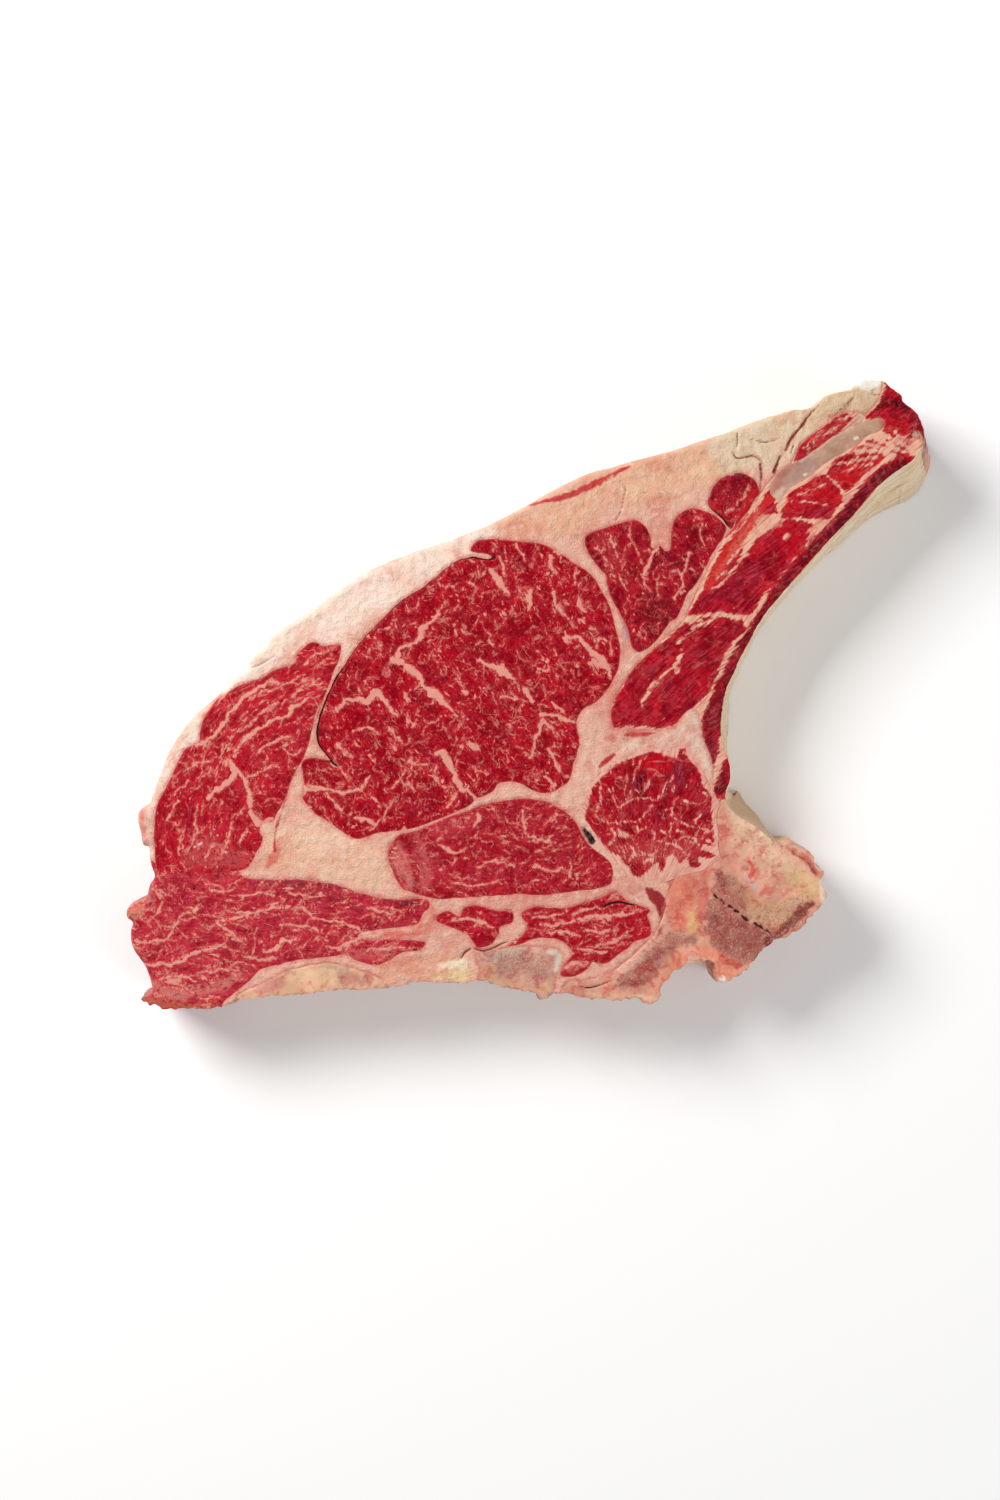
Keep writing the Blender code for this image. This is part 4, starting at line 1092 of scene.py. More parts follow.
# ----------------------------------------
# The back muscle: the broad strip at the lower left, a paler pink with long streaks along
# the cut, open to the side where the steak was cut from its neighbour.
BACK_OUTLINE = (
    (-160, -64), (-144, -64), (-128, -64), (-115, -66), (-109, -70), (-99, -70.9), (-88.1, -70.9),
    (-82.3, -71.7), (-75.6, -72.6), (-70.6, -74.2), (-65.7, -75.9), (-60.7, -77.1), (-55.7, -78.1),
    (-49.8, -78.6), (-44, -78), (-39, -79), (-38.6, -81.6), (-40.7, -83.8), (-43.2, -88), (-49, -89),
    (-57.3, -90), (-64, -91.1), (-65.7, -92.6), (-62, -94), (-53.2, -93.8), (-46.5, -94.2), (-40.7, -94.6),
    (-40.3, -96.1), (-42.8, -98), (-49, -99), (-54.4, -102.1), (-59, -103.6), (-65.7, -102.3),
    (-70.7, -100), (-77.3, -100.5), (-84, -101.3), (-90.6, -102.1), (-97.3, -103.8), (-103.1, -105.5),
    (-107.3, -109.6), (-112.3, -113.8), (-117.3, -117.5), (-122, -124), (-150, -126), (-166, -112),
    (-166, -84),
)
BACK_VEINS = (
    ((-149, -103.8, 1.2), (-140.6, -103.8, 1.8), (-135.6, -102.5, 1.8), (-130.6, -100, 1.7),
     (-125.6, -98.4, 1.7), (-120.6, -97.1, 1.6), (-115.6, -96.3, 1)),
    ((-120.6, -87.1, 1), (-114, -85.9, 1.5), (-107.3, -83.8, 1.5), (-102.3, -82.6, 1.4),
     (-95.6, -81.7, 1.4), (-89, -81.7, 1.4), (-84.8, -83, 1.4), (-82.3, -85.5, 1.4), (-77.3, -86.7, 1.4),
     (-70.6, -88, 1.4), (-66.5, -89.6, 1.6), (-64, -91.8, 1.8)),
    ((-119.8, -88, 1.4), (-115.6, -90.5, 1.5), (-112.3, -93.8, 1.4), (-109, -95.5, 1)),
    ((-101.5, -98.4, 1.4), (-97.3, -97.1, 2.4), (-94, -94.6, 2.6), (-89.8, -93.4, 1.6)),
    ((-152, -95, 1), (-142.3, -94.6, 1.6), (-138.1, -92.1, 1.6), (-136.4, -88.8, 1.5), (-133.1, -84.6, 1.5),
     (-128.1, -83, 1.4)),
    ((-129, -82.5, 3), (-128, -82.2, 3)), ((-78, -96.4, 1.4), (-72, -97, 2.6), (-65, -93.6, 2.4)),
    ((-92, -76, 0.9), (-84, -77.4, 1.3), (-78, -76.6, 0.9)),
    ((-112, -77, 0.8), (-104, -76, 1.2), (-98, -77, 0.8)),
    ((-145, -74, 0.9), (-141, -79, 1.2), (-143, -85, 0.9)),
    ((-124, -73, 0.8), (-118, -76, 1.1), (-113, -74, 0.8)),
    ((-110, -100, 0.9), (-104, -101.6, 1.2), (-98, -101, 0.8)),
    ((-96, -88, 0.8), (-88, -88.6, 1.2), (-80, -91, 0.9)),
    ((-128, -107, 0.8), (-120, -105.6, 1.2), (-112, -106, 0.8)),
    ((-142, -109, 0.8), (-134, -108, 1.2), (-128, -110, 0.8)),
    ((-62, -82, 0.7), (-55, -83.4, 1), (-48, -82.6, 0.7)),
    ((-62, -98, 0.8), (-55, -97.4, 1.2), (-48, -97, 0.8)),
)


def back_flow(x, y):
    """Which way the streaks of the back muscle run, in radians."""
    return 0.12 + 0.25 * math.sin(x / 19) - (0.5 if x < -135 else 0)


lean_pink = lean_material("lean_pink", (156, 20, 40), (196, 50, 68), thread_size=5.6, threads=0.7,
                          flecks=0.4, streak=0.65, fibre_scale=1.2, fibre_thin=0.15)
BACK_DABS = (
    ((92, 34, 40), 0.9, 1, ((-50, -80.3, 1.4), (-46, -80, 2.6), (-41.5, -80, 1.4))),
    ((122, 52, 58), 0.85, 0.8, ((-104, -70.6, 0.8), (-97, -71.4, 1.4), (-88, -71.6, 1.6), (-80, -72.6, 1.2),
        (-72, -74.4, 1.4), (-62, -77.4, 1.6), (-55, -78.8, 1.4), (-50, -79.4, 1))),
    ((150, 70, 74), 0.6, 1, ((-92, -73.4, 1.4), (-84, -75, 1), (-70, -78, 1.6))),
    ((150, 36, 50), 0.6, 3, ((-104, -74, 5), (-85, -76, 6), (-66, -80, 6))),
    ((214, 132, 122), 0.75, 3, ((-146, -112, 4), (-132, -115, 5), (-119, -112, 5), (-110, -106, 3))),
    ((214, 112, 104), 0.6, 2, ((-70, -99, 3), (-62, -99.6, 4), (-53, -99, 3))),
    ((186, 110, 76), 0.7, 1.5, ((-147, -117.5, 3.4), (-133, -119.6, 3), (-120, -118.6, 3))),
    ((214, 158, 122), 0.75, 1.5, ((-152.5, -84, 5), (-149, -80.5, 3.4))),
    ((220, 150, 138), 0.5, 3, ((-147, -72, 3), (-147, -78, 3))),
)
lean_piece("back_muscle", (BACK_OUTLINE,), lean_pink, slot="lean_pink", cut_by=("cap_muscle",),
           grain=straight_grain(6, 0.8), grown=CAP_TO_BACK,
           veins=BACK_VEINS, thin=0.85, strewn=(170, (3, 11), (0.2, 0.6), back_flow, 23, 0.5),
           cracks=(((-128.9, -74.5, 0.9), (-128.6, -74.3, 0.7)),), dabs=BACK_DABS, lumps=0.2)

# ----------------------------------------
# The rib bone: a flat rib that stands on edge in the meat. The upper cut grazes it, so it shows
# as a smooth grey stripe, and its spongy end shows where the rib was sawn off.
BONE_PITCH = 0.55
OUTER_TONE = (226, 182, 150)     # the outside of bone and fat, dried a little
OUTER_DABS = (
    ((242, 216, 194), 1.0, 40, ((-130, -20, 60), (-60, 50, 60), (0, 80, 40))),
    ((228, 200, 156), 0.9, 40, ((90, 110, 40), (130, 120, 40))),
)


def bone_material(name, pore_size, pore_depth, stained=0.75):
    """Sawn raw bone: tinted per point, with blood-filled pores and pale struts where spongy."""
    material, tree = new_material(name)
    place, tint = attribute(tree, "grain", "Vector"), attribute(tree, "tint", "Color")
    spongy, crack, film = (attribute(tree, key) for key in ("spongy", "crack", "film"))
    pores = noise(place, 1.0 / pore_size, 3.0, 0.7)
    struts = noise(place, 1.7 / pore_size, 2.0, 0.6, 0.6)
    drift = noise(place, 0.12, 4.0, 0.6)
    stain = noise(place, 0.22, 4.0, 0.68, 0.5)
    bloody = blend(1.0, tint, (230, 150, 150), "MULTIPLY")
    sandy = blend(0.5, tint, (226, 186, 150))
    dark = blend(1.0, tint, (176, 108, 108), "MULTIPLY")
    light = blend(0.55, tint, (246, 214, 196))
    colour = blend(step_up(stain, 0.48, 0.66, 0.0, stained), tint, bloody)
    colour = blend(step_up(stain, 0.46, 0.3, 0.0, stained), colour, sandy)
    colour = blend(step_up(struts, 0.54, 0.72) * spongy * 0.75, colour, light)
    colour = blend(step_up(pores, 0.5, 0.32) * spongy * pore_depth, colour, dark)
    smear = step_up(drift, 0.35, 0.68, 0.88, 1.1)
    grey = add_node(tree, "CombineColor", i0=smear, i1=smear, i2=smear)
    colour = blend(1.0, colour, Value(grey.outputs[0]), "MULTIPLY")
    fat_speck = step_up(noise(place, 0.7, 3.0, 0.6), 0.62, 0.7, 0.0, stained / 2)
    colour = blend(fat_speck, colour, (236, 188, 164))
    blood = step_up(noise(place, 0.33, 3.0, 0.6), 0.64, 0.74, 0.0, stained - 0.25)
    colour = blend(blood, colour, (170, 48, 44))
    frayed = (noise(place, 0.4, 3.0) - 0.5) * 0.7 + film
    skin = blend(noise(place, 0.13, 4.0, 0.6), (206, 162, 122), (240, 206, 164))
    colour = blend(step_up(frayed, 0.4, 0.62), colour, skin)
    # Painted shade: the cracks and saw cuts are coloured near black.
    colour = blend(step_up(crack, -0.1, 0.12), colour, (40, 10, 10))
    height = (pores * 0.5 + struts * 0.3) * (spongy * 0.8 + 0.2)
    return finish_material(material, colour, height, 0.8, 0.0008, drift * 0.3 + 0.34, 0.3)


def wall_tone(deep, level, tint):
    """The same tints, drawn towards one even tone down the outer wall."""
    x, y = deep.T
    share = 0.65 * np.clip((1 - level) * THICK / 9, 0, 1) * (level > 0.001)
    share *= 0.8 + 0.2 * ripple(x, y, level * THICK, 9, 83)
    even = painted(deep, OUTER_TONE, OUTER_DABS)
    return tint + (even - tint) * share[:, None]


def dips(flat, hollows):
    """How deep each point lies in round hollows, each given by x, y, size and depth."""
    x, y = flat.T
    return sum(depth * np.exp(-((x - east) ** 2 + (y - north) ** 2) / size ** 2)
               for east, north, size, depth in hollows)


def bone_piece(name, outlines, material, base, dabs=(), sponge=(), cracks=(), hollows=(),
               cut_by=(), lumps=0.1, proud=0.0):
    """A bone or gristle: its slab with tinted zones, spongy zones, cracks and hollows."""
    shape, seam_tree = cut_piece(name, outlines, BONE_PITCH, cut_by)

    def look(flat, level):
        deep = drifted(flat, level)
        return {
            "seam": nearest(seam_tree, flat)[0],
            "grain": np.column_stack((deep, level * THICK)),
            "tint": wall_tone(deep, level, painted(deep, base, dabs)),
            "spongy": masked(deep, sponge),
            "film": wall_film(flat, level),
            "crack": stroke_depth(deep, cracks),
        }

    def relief(flat, values):
        x, y = flat.T
        inner = 1 - np.exp(-values["seam"] / 1.2)
        lift = inner * lumps * (ripple(x, y, 0, 1.5, 62) + ripple(x, y, 0, 7, 63)) + proud * inner
        return lift - dips(flat, hollows) * inner - cut_marks(values, 0.6, 0.2)

    return finish_piece(name, shape, material, (name,), look, relief)


bone_pink = bone_material("bone_pink", 0.95, 0.6)
RIB_STRIPE = (
    (92.6, 80.6), (94.6, 84), (97.6, 87), (101, 88.6), (104.4, 90.6), (108, 93), (112, 95.8), (116, 98.6),
    (119.4, 100.8), (122.6, 102.6), (126, 103.8), (130, 105.2), (133.4, 106.4), (136, 105.8), (136.2, 103),
    (134, 101), (131, 100.2), (128, 98.2), (125, 96), (121, 93.4), (117, 91), (113, 88.4), (110, 86),
    (107, 83.6), (104, 81.6), (101, 80), (98.4, 77.8), (96.6, 75), (94.6, 75.4), (92.6, 77.6),
)
RIB_WAY = (0.82, 0.57, 0)        # which way the rib runs
END_KEPT = Vector((120, 92, 0)) * MM  # the bar is kept from here to its sawn end
END_PITCH = 0.6 * MM             # spacing of points on the bar
END_INSET = 2.5                  # how far the bar stays from both cut faces, in millimetres
rib_end = bmesh.new()
rib_end.from_mesh(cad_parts["rib_bone"].data)
bmesh.ops.remove_doubles(rib_end, verts=rib_end.verts, dist=0.00001)
bmesh.ops.bisect_plane(rib_end, geom=[*rib_end.verts, *rib_end.edges, *rib_end.faces],
                       plane_co=END_KEPT, plane_no=RIB_WAY, clear_inner=True)
bmesh.ops.holes_fill(rib_end, edges=[edge for edge in rib_end.edges if edge.is_boundary])
bmesh.ops.recalc_face_normals(rib_end, faces=rib_end.faces)
bar_mesh = bpy.data.meshes.new("rib_end")
rib_end.to_mesh(bar_mesh)
rib_end.free()
bar = bpy.data.objects.new("rib_end", bar_mesh)
scene.collection.objects.link(bar)
remesh = bar.modifiers.new("remesh", "REMESH")
remesh.mode = "VOXEL"
remesh.voxel_size = END_PITCH
bar_mesh = bpy.data.meshes.new_from_object(bar.evaluated_get(bpy.context.evaluated_depsgraph_get()))
bar.modifiers.clear()
bar.data = bar_mesh
bar_points = np.empty(len(bar_mesh.vertices) * 3)
bar_mesh.vertices.foreach_get("co", bar_points)
bar_points = bar_points.reshape(-1, 3) / MM
bar_flat = bar_points[:, :2] - FACE_SHIFT
bar_near = nearest(rim_tree, bar_flat)[1]
bar_side = np.sum((bar_flat - rim[bar_near, :2]) * rim_normal[bar_near], axis=1)
bar_reach = rim[bar_near, 2] * (1 - np.clip(bar_points[:, 2] / THICK, 0, 1)) ** LEAN_CURVE
on_end = rim[bar_near, 6].round() == run_number["rib_end"]
bar_reach += np.where(on_end, 0.5 + 0.5 * ripple(*bar_points.T, 2.2, 71), -1.5)
bar_points[:, :2] -= rim_normal[bar_near] * np.clip(bar_side - bar_reach, 0, None)[:, None]
bar_points[:, 2] = np.clip(bar_points[:, 2], END_INSET, THICK - END_INSET)
bar_mesh.vertices.foreach_set("co", (bar_points * MM).ravel())
keep_values(bar_mesh, {
    "grain": bar_points,
    "tint": painted(bar_flat, (196, 152, 128), (((150, 60, 52), 0.5, 4, (147, 99, 6)),)),
    "spongy": np.ones(len(bar_points)),
    "crack": np.full(len(bar_points), -REACH),
    "film": np.zeros(len(bar_points)),
})
bar_mesh.shade_smooth()
bar_mesh.materials.clear()
bar_mesh.materials.append(bone_pink)
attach(bar, "root")

bone_grey = bone_material("bone_grey", 1.3, 0.2, 0.3)
STRIPE_DABS = (
    ((182, 142, 134), 0.8, 2, ((98, 80, 4), (103, 84, 5), (108, 88, 5))),
    ((196, 160, 138), 0.7, 1.5, ((110, 92, 3), (116, 95.6, 3), (122, 99, 3))),
    ((176, 116, 104), 0.85, 1.5, ((93, 78.6, 4), (95, 83.4, 4.4), (98.6, 87, 4), (102, 89, 2))),
    ((214, 172, 156), 0.8, 1, ((104, 90.4, 1), (110, 94.6, 1.4), (117, 99.4, 1.4), (124, 103.4, 1.2))),
    ((214, 164, 146), 0.7, 1, ((99, 78.6, 1.6), (106, 83, 1.4), (114, 88.6, 1.4), (121, 93, 1.4),
        (128, 98, 1.6))),
    ((214, 176, 156), 0.8, 1.4, ((95.4, 76, 3), (97.6, 78.6, 2))),
    # Two tiny near-white dots: painted glossy highlights on the bone.
    ((246, 232, 222), 0.9, 0.4, ((105.6, 84.4, 0.7), (106.4, 85, 0.6))),
    ((246, 232, 222), 0.9, 0.4, ((125, 98.4, 0.7), (126, 98.8, 0.6))),
    ((186, 60, 56), 0.6, 2, ((136, 104.4, 3),)),
)
bone_piece("rib_bone", (RIB_STRIPE,), bone_grey, (186, 146, 120), STRIPE_DABS,
           ((0.3, 3, ((100, 85, 6), (120, 96, 6))),), lumps=0.05, proud=0.05)

# ----------------------------------------
# The rim muscle: a sliver of bright red meat on the back of the rib, beside the bone, where the
# rib was scraped and sawn. Its fibres run along the bone, with fat feathered in between them.
RIM_OUTLINE = (
    (101, 88.6), (102.2, 92.4), (103.4, 95), (106.4, 98.2), (110.6, 101.4), (114.8, 104.6), (118.4, 107.2),
    (122.4, 108.6), (126, 108.4), (128.6, 106.8), (126, 102), (118, 96), (112, 92), (106, 88.6),
)
RIM_LEAN = (
    (102, 90), (103.2, 95), (106, 98.8), (110.4, 102.4), (114.4, 105.4), (118.6, 107.6), (122.4, 108),
    (123, 105.4), (119.6, 101.4), (116, 98.4), (112, 94.8), (107, 90.4),
)
lean_rim = lean_material("lean_rim", (150, 6, 30), (196, 30, 44), thread_size=7.5, threads=0.3, flecks=-0.3,
                         fat_colour=(212, 176, 150), fibre_scale=0.9, fibre_thin=0.14, feather=1.4)
lean_piece("rim_muscle", (RIM_OUTLINE,), lean_rim, slot="lean_pink", grain=straight_grain(38),
           cut_by=("rib_bone",), lean_islands=(RIM_LEAN,),
           veins=strewn_veins(RIM_LEAN, 26, (3, 7), (0.15, 0.4), lambda x, y: math.radians(40), 41, 0.2),
           dabs=(((196, 66, 66), 0.5, 2, ((112, 98, 3), (119, 104, 3))),), lumps=0.22)

# ----------------------------------------
# The rib meat: the long strip under the rib bone, made of bundles with their own fibres and
# pale sinew between them. A dried membrane covers its wall on the side of the chest.
RIB_MEAT_OUTLINE = (
    (31.3, -7), (32.8, -1.3), (36, 3.9), (39.6, 9.8), (44, 14.2), (48.4, 18.6), (52.9, 22.5), (57, 26),
    (60, 29.6), (62, 34), (65, 40.6), (67.8, 46.4), (70, 51), (72.4, 55.6), (75, 60.4), (77.6, 63.2),
    (80, 66), (83.4, 69.4), (85.4, 72.4), (88, 75.4), (89.6, 78.6), (92.4, 82), (97, 86), (104, 88.6),
    (109, 92.6), (114, 97), (119, 101), (124, 104.4), (128, 106.6), (131.4, 109.4), (133.6, 113),
    (135.6, 117.5), (137, 123), (150, 124), (160, 100), (160, 84), (150, 76), (130, 56), (118, 40),
    (105, 22), (95, 8), (88, -8), (88, -24), (84, -38), (76.6, -40.5), (72.6, -40), (70.6, -37),
    (70.4, -33), (70.8, -30), (69.8, -24), (67, -17.5), (66, -11), (64.8, -6.4), (62.4, -5.2), (58.7, -7.9),
    (55.8, -11.4), (50.7, -13), (44, -13), (38.2, -13), (32.2, -12.4),
)
RIB_BUNDLES = (
    ((31.5, -11.5), (31.2, -6.4), (33, -1.3), (36, 3.9), (39.6, 9.8), (44, 14.6), (48.4, 18.8), (52.9, 22),
     (57.3, 25.4), (61.4, 28.7), (67.9, 30), (75.8, 29.6), (81.8, 28.3), (82.6, 24.8), (79.2, 21.2),
     (76.2, 17), (73.8, 12.7), (72, 8.3), (70.4, 3.6), (67.6, -0.6), (63.6, -4.6), (59.6, -7.4),
     (56.3, -11), (50.7, -12.6), (44, -12.6), (38.2, -12), (33, -13)),
    ((61, 30.5), (63, 34.5), (65.5, 39), (68, 41), (71, 41.2), (74, 42.4), (76.5, 45.6), (79.4, 48.8),
     (83.4, 54), (87, 59), (91.6, 62.8), (95.6, 66.2), (100, 67.3), (108, 66.3), (110, 65.2), (107.4, 62.6),
     (106.5, 58), (104, 55), (101.4, 52.5), (100, 50), (98, 47.5), (95, 42.6), (92.5, 40.5), (89.5, 38.5),
     (88, 35), (86.5, 33), (85.5, 31.4), (82, 31), (76, 31.6), (72, 32), (66, 30.8)),
    ((97, 68), (96.6, 70.6), (98.6, 74), (100.6, 78), (104, 79.4), (107, 81.6), (110, 84.5), (113, 84.7),
     (116, 82.5), (118.4, 79.8), (120, 77), (119.8, 74), (117.6, 71.5), (116.5, 69), (115, 67.4),
     (110, 67.2), (107, 67.9), (103, 68.2), (100, 67.9)),
    ((114.6, 85), (117.7, 90), (122.6, 92.1), (129, 92.9), (133.9, 92.9), (136.5, 91.5), (133, 88),
     (129, 85), (127.4, 83.2), (124.2, 80), (121.4, 78.3), (118.8, 80.9)),
    ((66.6, 40.6), (68.8, 46), (70.8, 50), (73, 54), (75, 58), (78, 61), (80.6, 64.4), (83.6, 67.6),
     (87, 71.4), (89.4, 75), (92.6, 79.4), (94.8, 78), (94.6, 74), (95.6, 70), (93.6, 69.4), (90.6, 69.6),
     (88, 67.4), (86, 64.4), (83.4, 61), (81.6, 57.6), (81.2, 54), (79.2, 50), (76, 46), (73.8, 43),
     (71, 41.4)),
    ((75.6, 60.6), (78, 62.8), (81, 66), (84, 69.2), (83, 70), (80, 66.8), (77, 63.6)),
    ((127, 97.6), (132, 96.4), (138, 95.2), (134, 97), (130, 98)),
    ((137, 98), (141, 95.4), (145, 93.8), (142, 96.4)), ((124, 95), (129, 94.6), (134, 94.4), (130, 95.8)),
    ((139, 93.4), (142, 92), (145, 91.4), (142, 93.4)),
    ((66, -13), (67.2, -18), (68.6, -23), (70.2, -27.5), (71.6, -26), (72.8, -21), (73.6, -15), (77, -10),
     (84, -4), (92, 6), (105, 22), (130, 56), (150, 84), (144, 93), (138, 89.6), (133, 86.6), (129, 82.4),
     (126.4, 79.4), (124, 76), (121.4, 73), (118.6, 69.4), (115.6, 66.4), (112.4, 63.2), (109.6, 61),
     (106.6, 58), (103.6, 54.6), (100.6, 51), (98.6, 48), (96.2, 45), (93.6, 42), (91.6, 39), (90, 35.5),
     (88, 32), (86.3, 29), (84.2, 25.6), (82, 22.8), (79, 18.5), (76.6, 13), (74.4, 8.6), (72, 5), (70, 0),
     (68.4, -4), (66.6, -8)),
    ((79, -21), (75, -25.6), (72.8, -31), (70.6, -35), (71, -38.6), (73, -40.5), (76, -40), (84, -38),
     (84, -24)),
    ((129, 106.9), (132.3, 110), (134.6, 113.4), (136.4, 117.5), (139, 122), (150, 121), (160, 110),
     (160, 97), (153, 97.6), (150, 97.8), (146.9, 98.6), (145.3, 96.4), (142, 98.4), (137.2, 100.4),
     (135.6, 102.6), (136, 105), (132, 105.6)),
)
RIB_VEINS = (
    ((43.3, -4.9, 0.5), (44, -0.5, 0.8), (48.4, 4.6, 0.9), (53.6, 9, 0.9), (57.3, 14.2, 1),
     (58.7, 17.8, 0.7)),
    ((55.3, 10.1, 2), (56.3, 10.3, 2)),
    ((57.3, 20.8, 0.6), (63.1, 25.2, 1), (69, 28.4, 1), (74.2, 30.6, 1)),
    ((72, 44, 0.4), (77, 50, 0.8), (82, 57, 0.8), (86, 62, 0.4)),
    ((140, 101, 0.8), (144, 99, 1.2), (146, 101, 0.8)),
    ((116, 88.6, 0.5), (122, 89.6, 1.1), (128, 90.8, 1), (134, 92, 0.6)),
    ((119, 85.4, 0.2), (125, 87.4, 0.6), (131, 89.4, 0.4)),
    ((103, 76.6, 0.2), (108, 78.6, 0.5), (113, 80.6, 0.3)),
    ((101, 74, 0.2), (107, 74.4, 0.5), (114, 72.6, 0.3)), ((136, 96, 0.8), (141, 98, 1.6), (144, 96, 0.8)),
)
RIB_NUBS = (                     # small pale knobs of sinew
    ((89.4, 65, 2.8), (91.8, 66.4, 4.4), (94.2, 67, 3)),
    ((61.8, 28.4, 2), (63.6, 28.8, 2.4), (65, 28.6, 1.6)), ((62, 25.6, 1.6), (63.4, 26, 1.6)),
    ((98.2, 60.8, 1.2), (98.8, 61.2, 1.2)), ((73, 30.8, 1.4), (75, 31.2, 1.6)),
)
SINEW = (226, 174, 148)
MEMBRANE_RED = (96, 8, 22)
lean_bright = lean_material("lean_bright", (134, 1, 20), (186, 14, 36), thread_size=9.0, threads=0.15,
                            flecks=-0.6, streak=0.75, fat_colour=SINEW, fibre_scale=0.9,
                            fibre_thin=0.1, feather=1.5, skin_colour=(238, 202, 152))
RIB_DABS = (
    (MEMBRANE_RED, 0.9, 1.4, ((73, -35, 7), (71, -24, 5), (70.2, -14, 7), (71.4, -4, 7), (74, 4, 6),
        (77.6, 11, 6), (81.6, 18, 5.4), (85.6, 24.6, 5), (89.6, 31, 4.6), (93.6, 36.6, 4.6), (97.6, 42, 5),
        (101.6, 47, 5), (105.6, 52, 5), (109.8, 57, 5.4), (114.4, 61.8, 5.4), (119, 66.4, 5.4),
        (123.4, 71.4, 5.4), (127.6, 76.4, 5.4), (132, 81, 5), (137.6, 85.4, 5), (143.4, 88.6, 4))),
    ((84, 6, 22), 0.75, 1, ((80, 15, 1), (84, 21, 2.4), (87.6, 27, 2.6), (90.4, 31.4, 1.6))),
    ((84, 8, 24), 0.7, 1, ((101, 48, 0.8), (107, 54.6, 1.6), (112, 59.6, 2), (118, 65, 1.6),
        (126, 74, 1.4))),
    ((150, 22, 36), 0.5, 2, ((74, -18, 3), (71, -8, 3), (76, 8, 2.4), (100, 41, 2.4))),
    ((168, 30, 44), 0.6, 1, ((93, 38, 0.8), (98, 44.6, 1.2), (103, 51, 1))),
    ((176, 20, 34), 0.8, 1.5, ((72.6, -26, 1.6), (71.6, -20, 2), (71, -15, 2))),
    ((214, 46, 40), 0.85, 2, ((69, 43, 4), (73, 50, 5), (78, 57, 6.4), (82, 63, 6), (87, 69, 5),
        (92, 75, 4))),
    ((226, 120, 96), 0.5, 1, ((71, 44, 1), (76, 52, 1.4), (82, 61, 1.6), (88, 70, 1))),
    ((146, 20, 44), 0.65, 4, ((71, 37, 7), (79, 42, 8), (87, 48, 7))),
    ((198, 10, 28), 0.65, 3, ((97, 64.6, 5), (103, 62, 6), (101, 56, 5))),
    ((206, 20, 30), 0.7, 3, ((102, 73, 7), (110, 79, 8), (116, 75, 6))),
    ((150, 4, 20), 0.6, 1.5, ((104, 69, 2), (110, 70.4, 3), (114, 73.6, 2))),
    ((210, 28, 34), 0.7, 3, ((119, 83, 6), (125, 86, 7), (132, 91, 4))),
    ((118, 8, 28), 0.5, 3, ((80, 27, 4), (76, 24, 5), (70, 24, 4), (66, 14, 5))),
    ((196, 92, 84), 0.6, 2, ((124, 95, 3), (131, 95, 4), (139, 95, 4))),
    ((232, 190, 166), 0.9, 1.2, ((88.6, 66.6, 3), (92, 66.6, 4.4), (95, 66.4, 2))),
    ((150, 10, 26), 0.85, 2.4, ((139, 110, 7), (145, 104, 10), (150, 100, 6))),
    ((184, 14, 30), 0.85, 2, ((138, 104, 6), (142, 101.6, 7), (145, 105, 4))),
    ((92, 6, 18), 0.85, 1.5, ((131, 109.4, 2), (135, 112, 3.4), (140, 112, 4.6), (145, 110, 3.4))),
    ((186, 20, 34), 0.8, 1.2, ((138.4, 116, 3), (141.6, 114.6, 2.4))),
    ((112, 6, 20), 0.7, 1.5, ((147.4, 107, 3.4), (148.6, 102.6, 3.4))),
    ((196, 164, 142), 0.95, 1.2, ((149, 99, 3), (150.4, 95, 4), (151.4, 91, 5))),
    ((88, 30, 40), 0.9, 0.8, ((152.4, 93, 1.8),)),
    ((214, 150, 134), 0.7, 1.5, ((142, 98, 3), (147, 97, 2.4))),
)
lean_piece("rib_meat", (RIB_MEAT_OUTLINE,), lean_bright, grain=straight_grain(38, 1.0), lumps=0.22,
           cut_by=("plate_muscle", "lobe_muscle", "rim_muscle", "joint_muscle", "rib_bone"),
           lean_islands=RIB_BUNDLES, veins=[*RIB_NUBS, *RIB_VEINS], dabs=RIB_DABS,
           cracks=(((141, 112.6, 0.9), (141.4, 111.2, 1.1)), ((142.6, 113.4, 0.5), (143, 112.8, 0.5))))

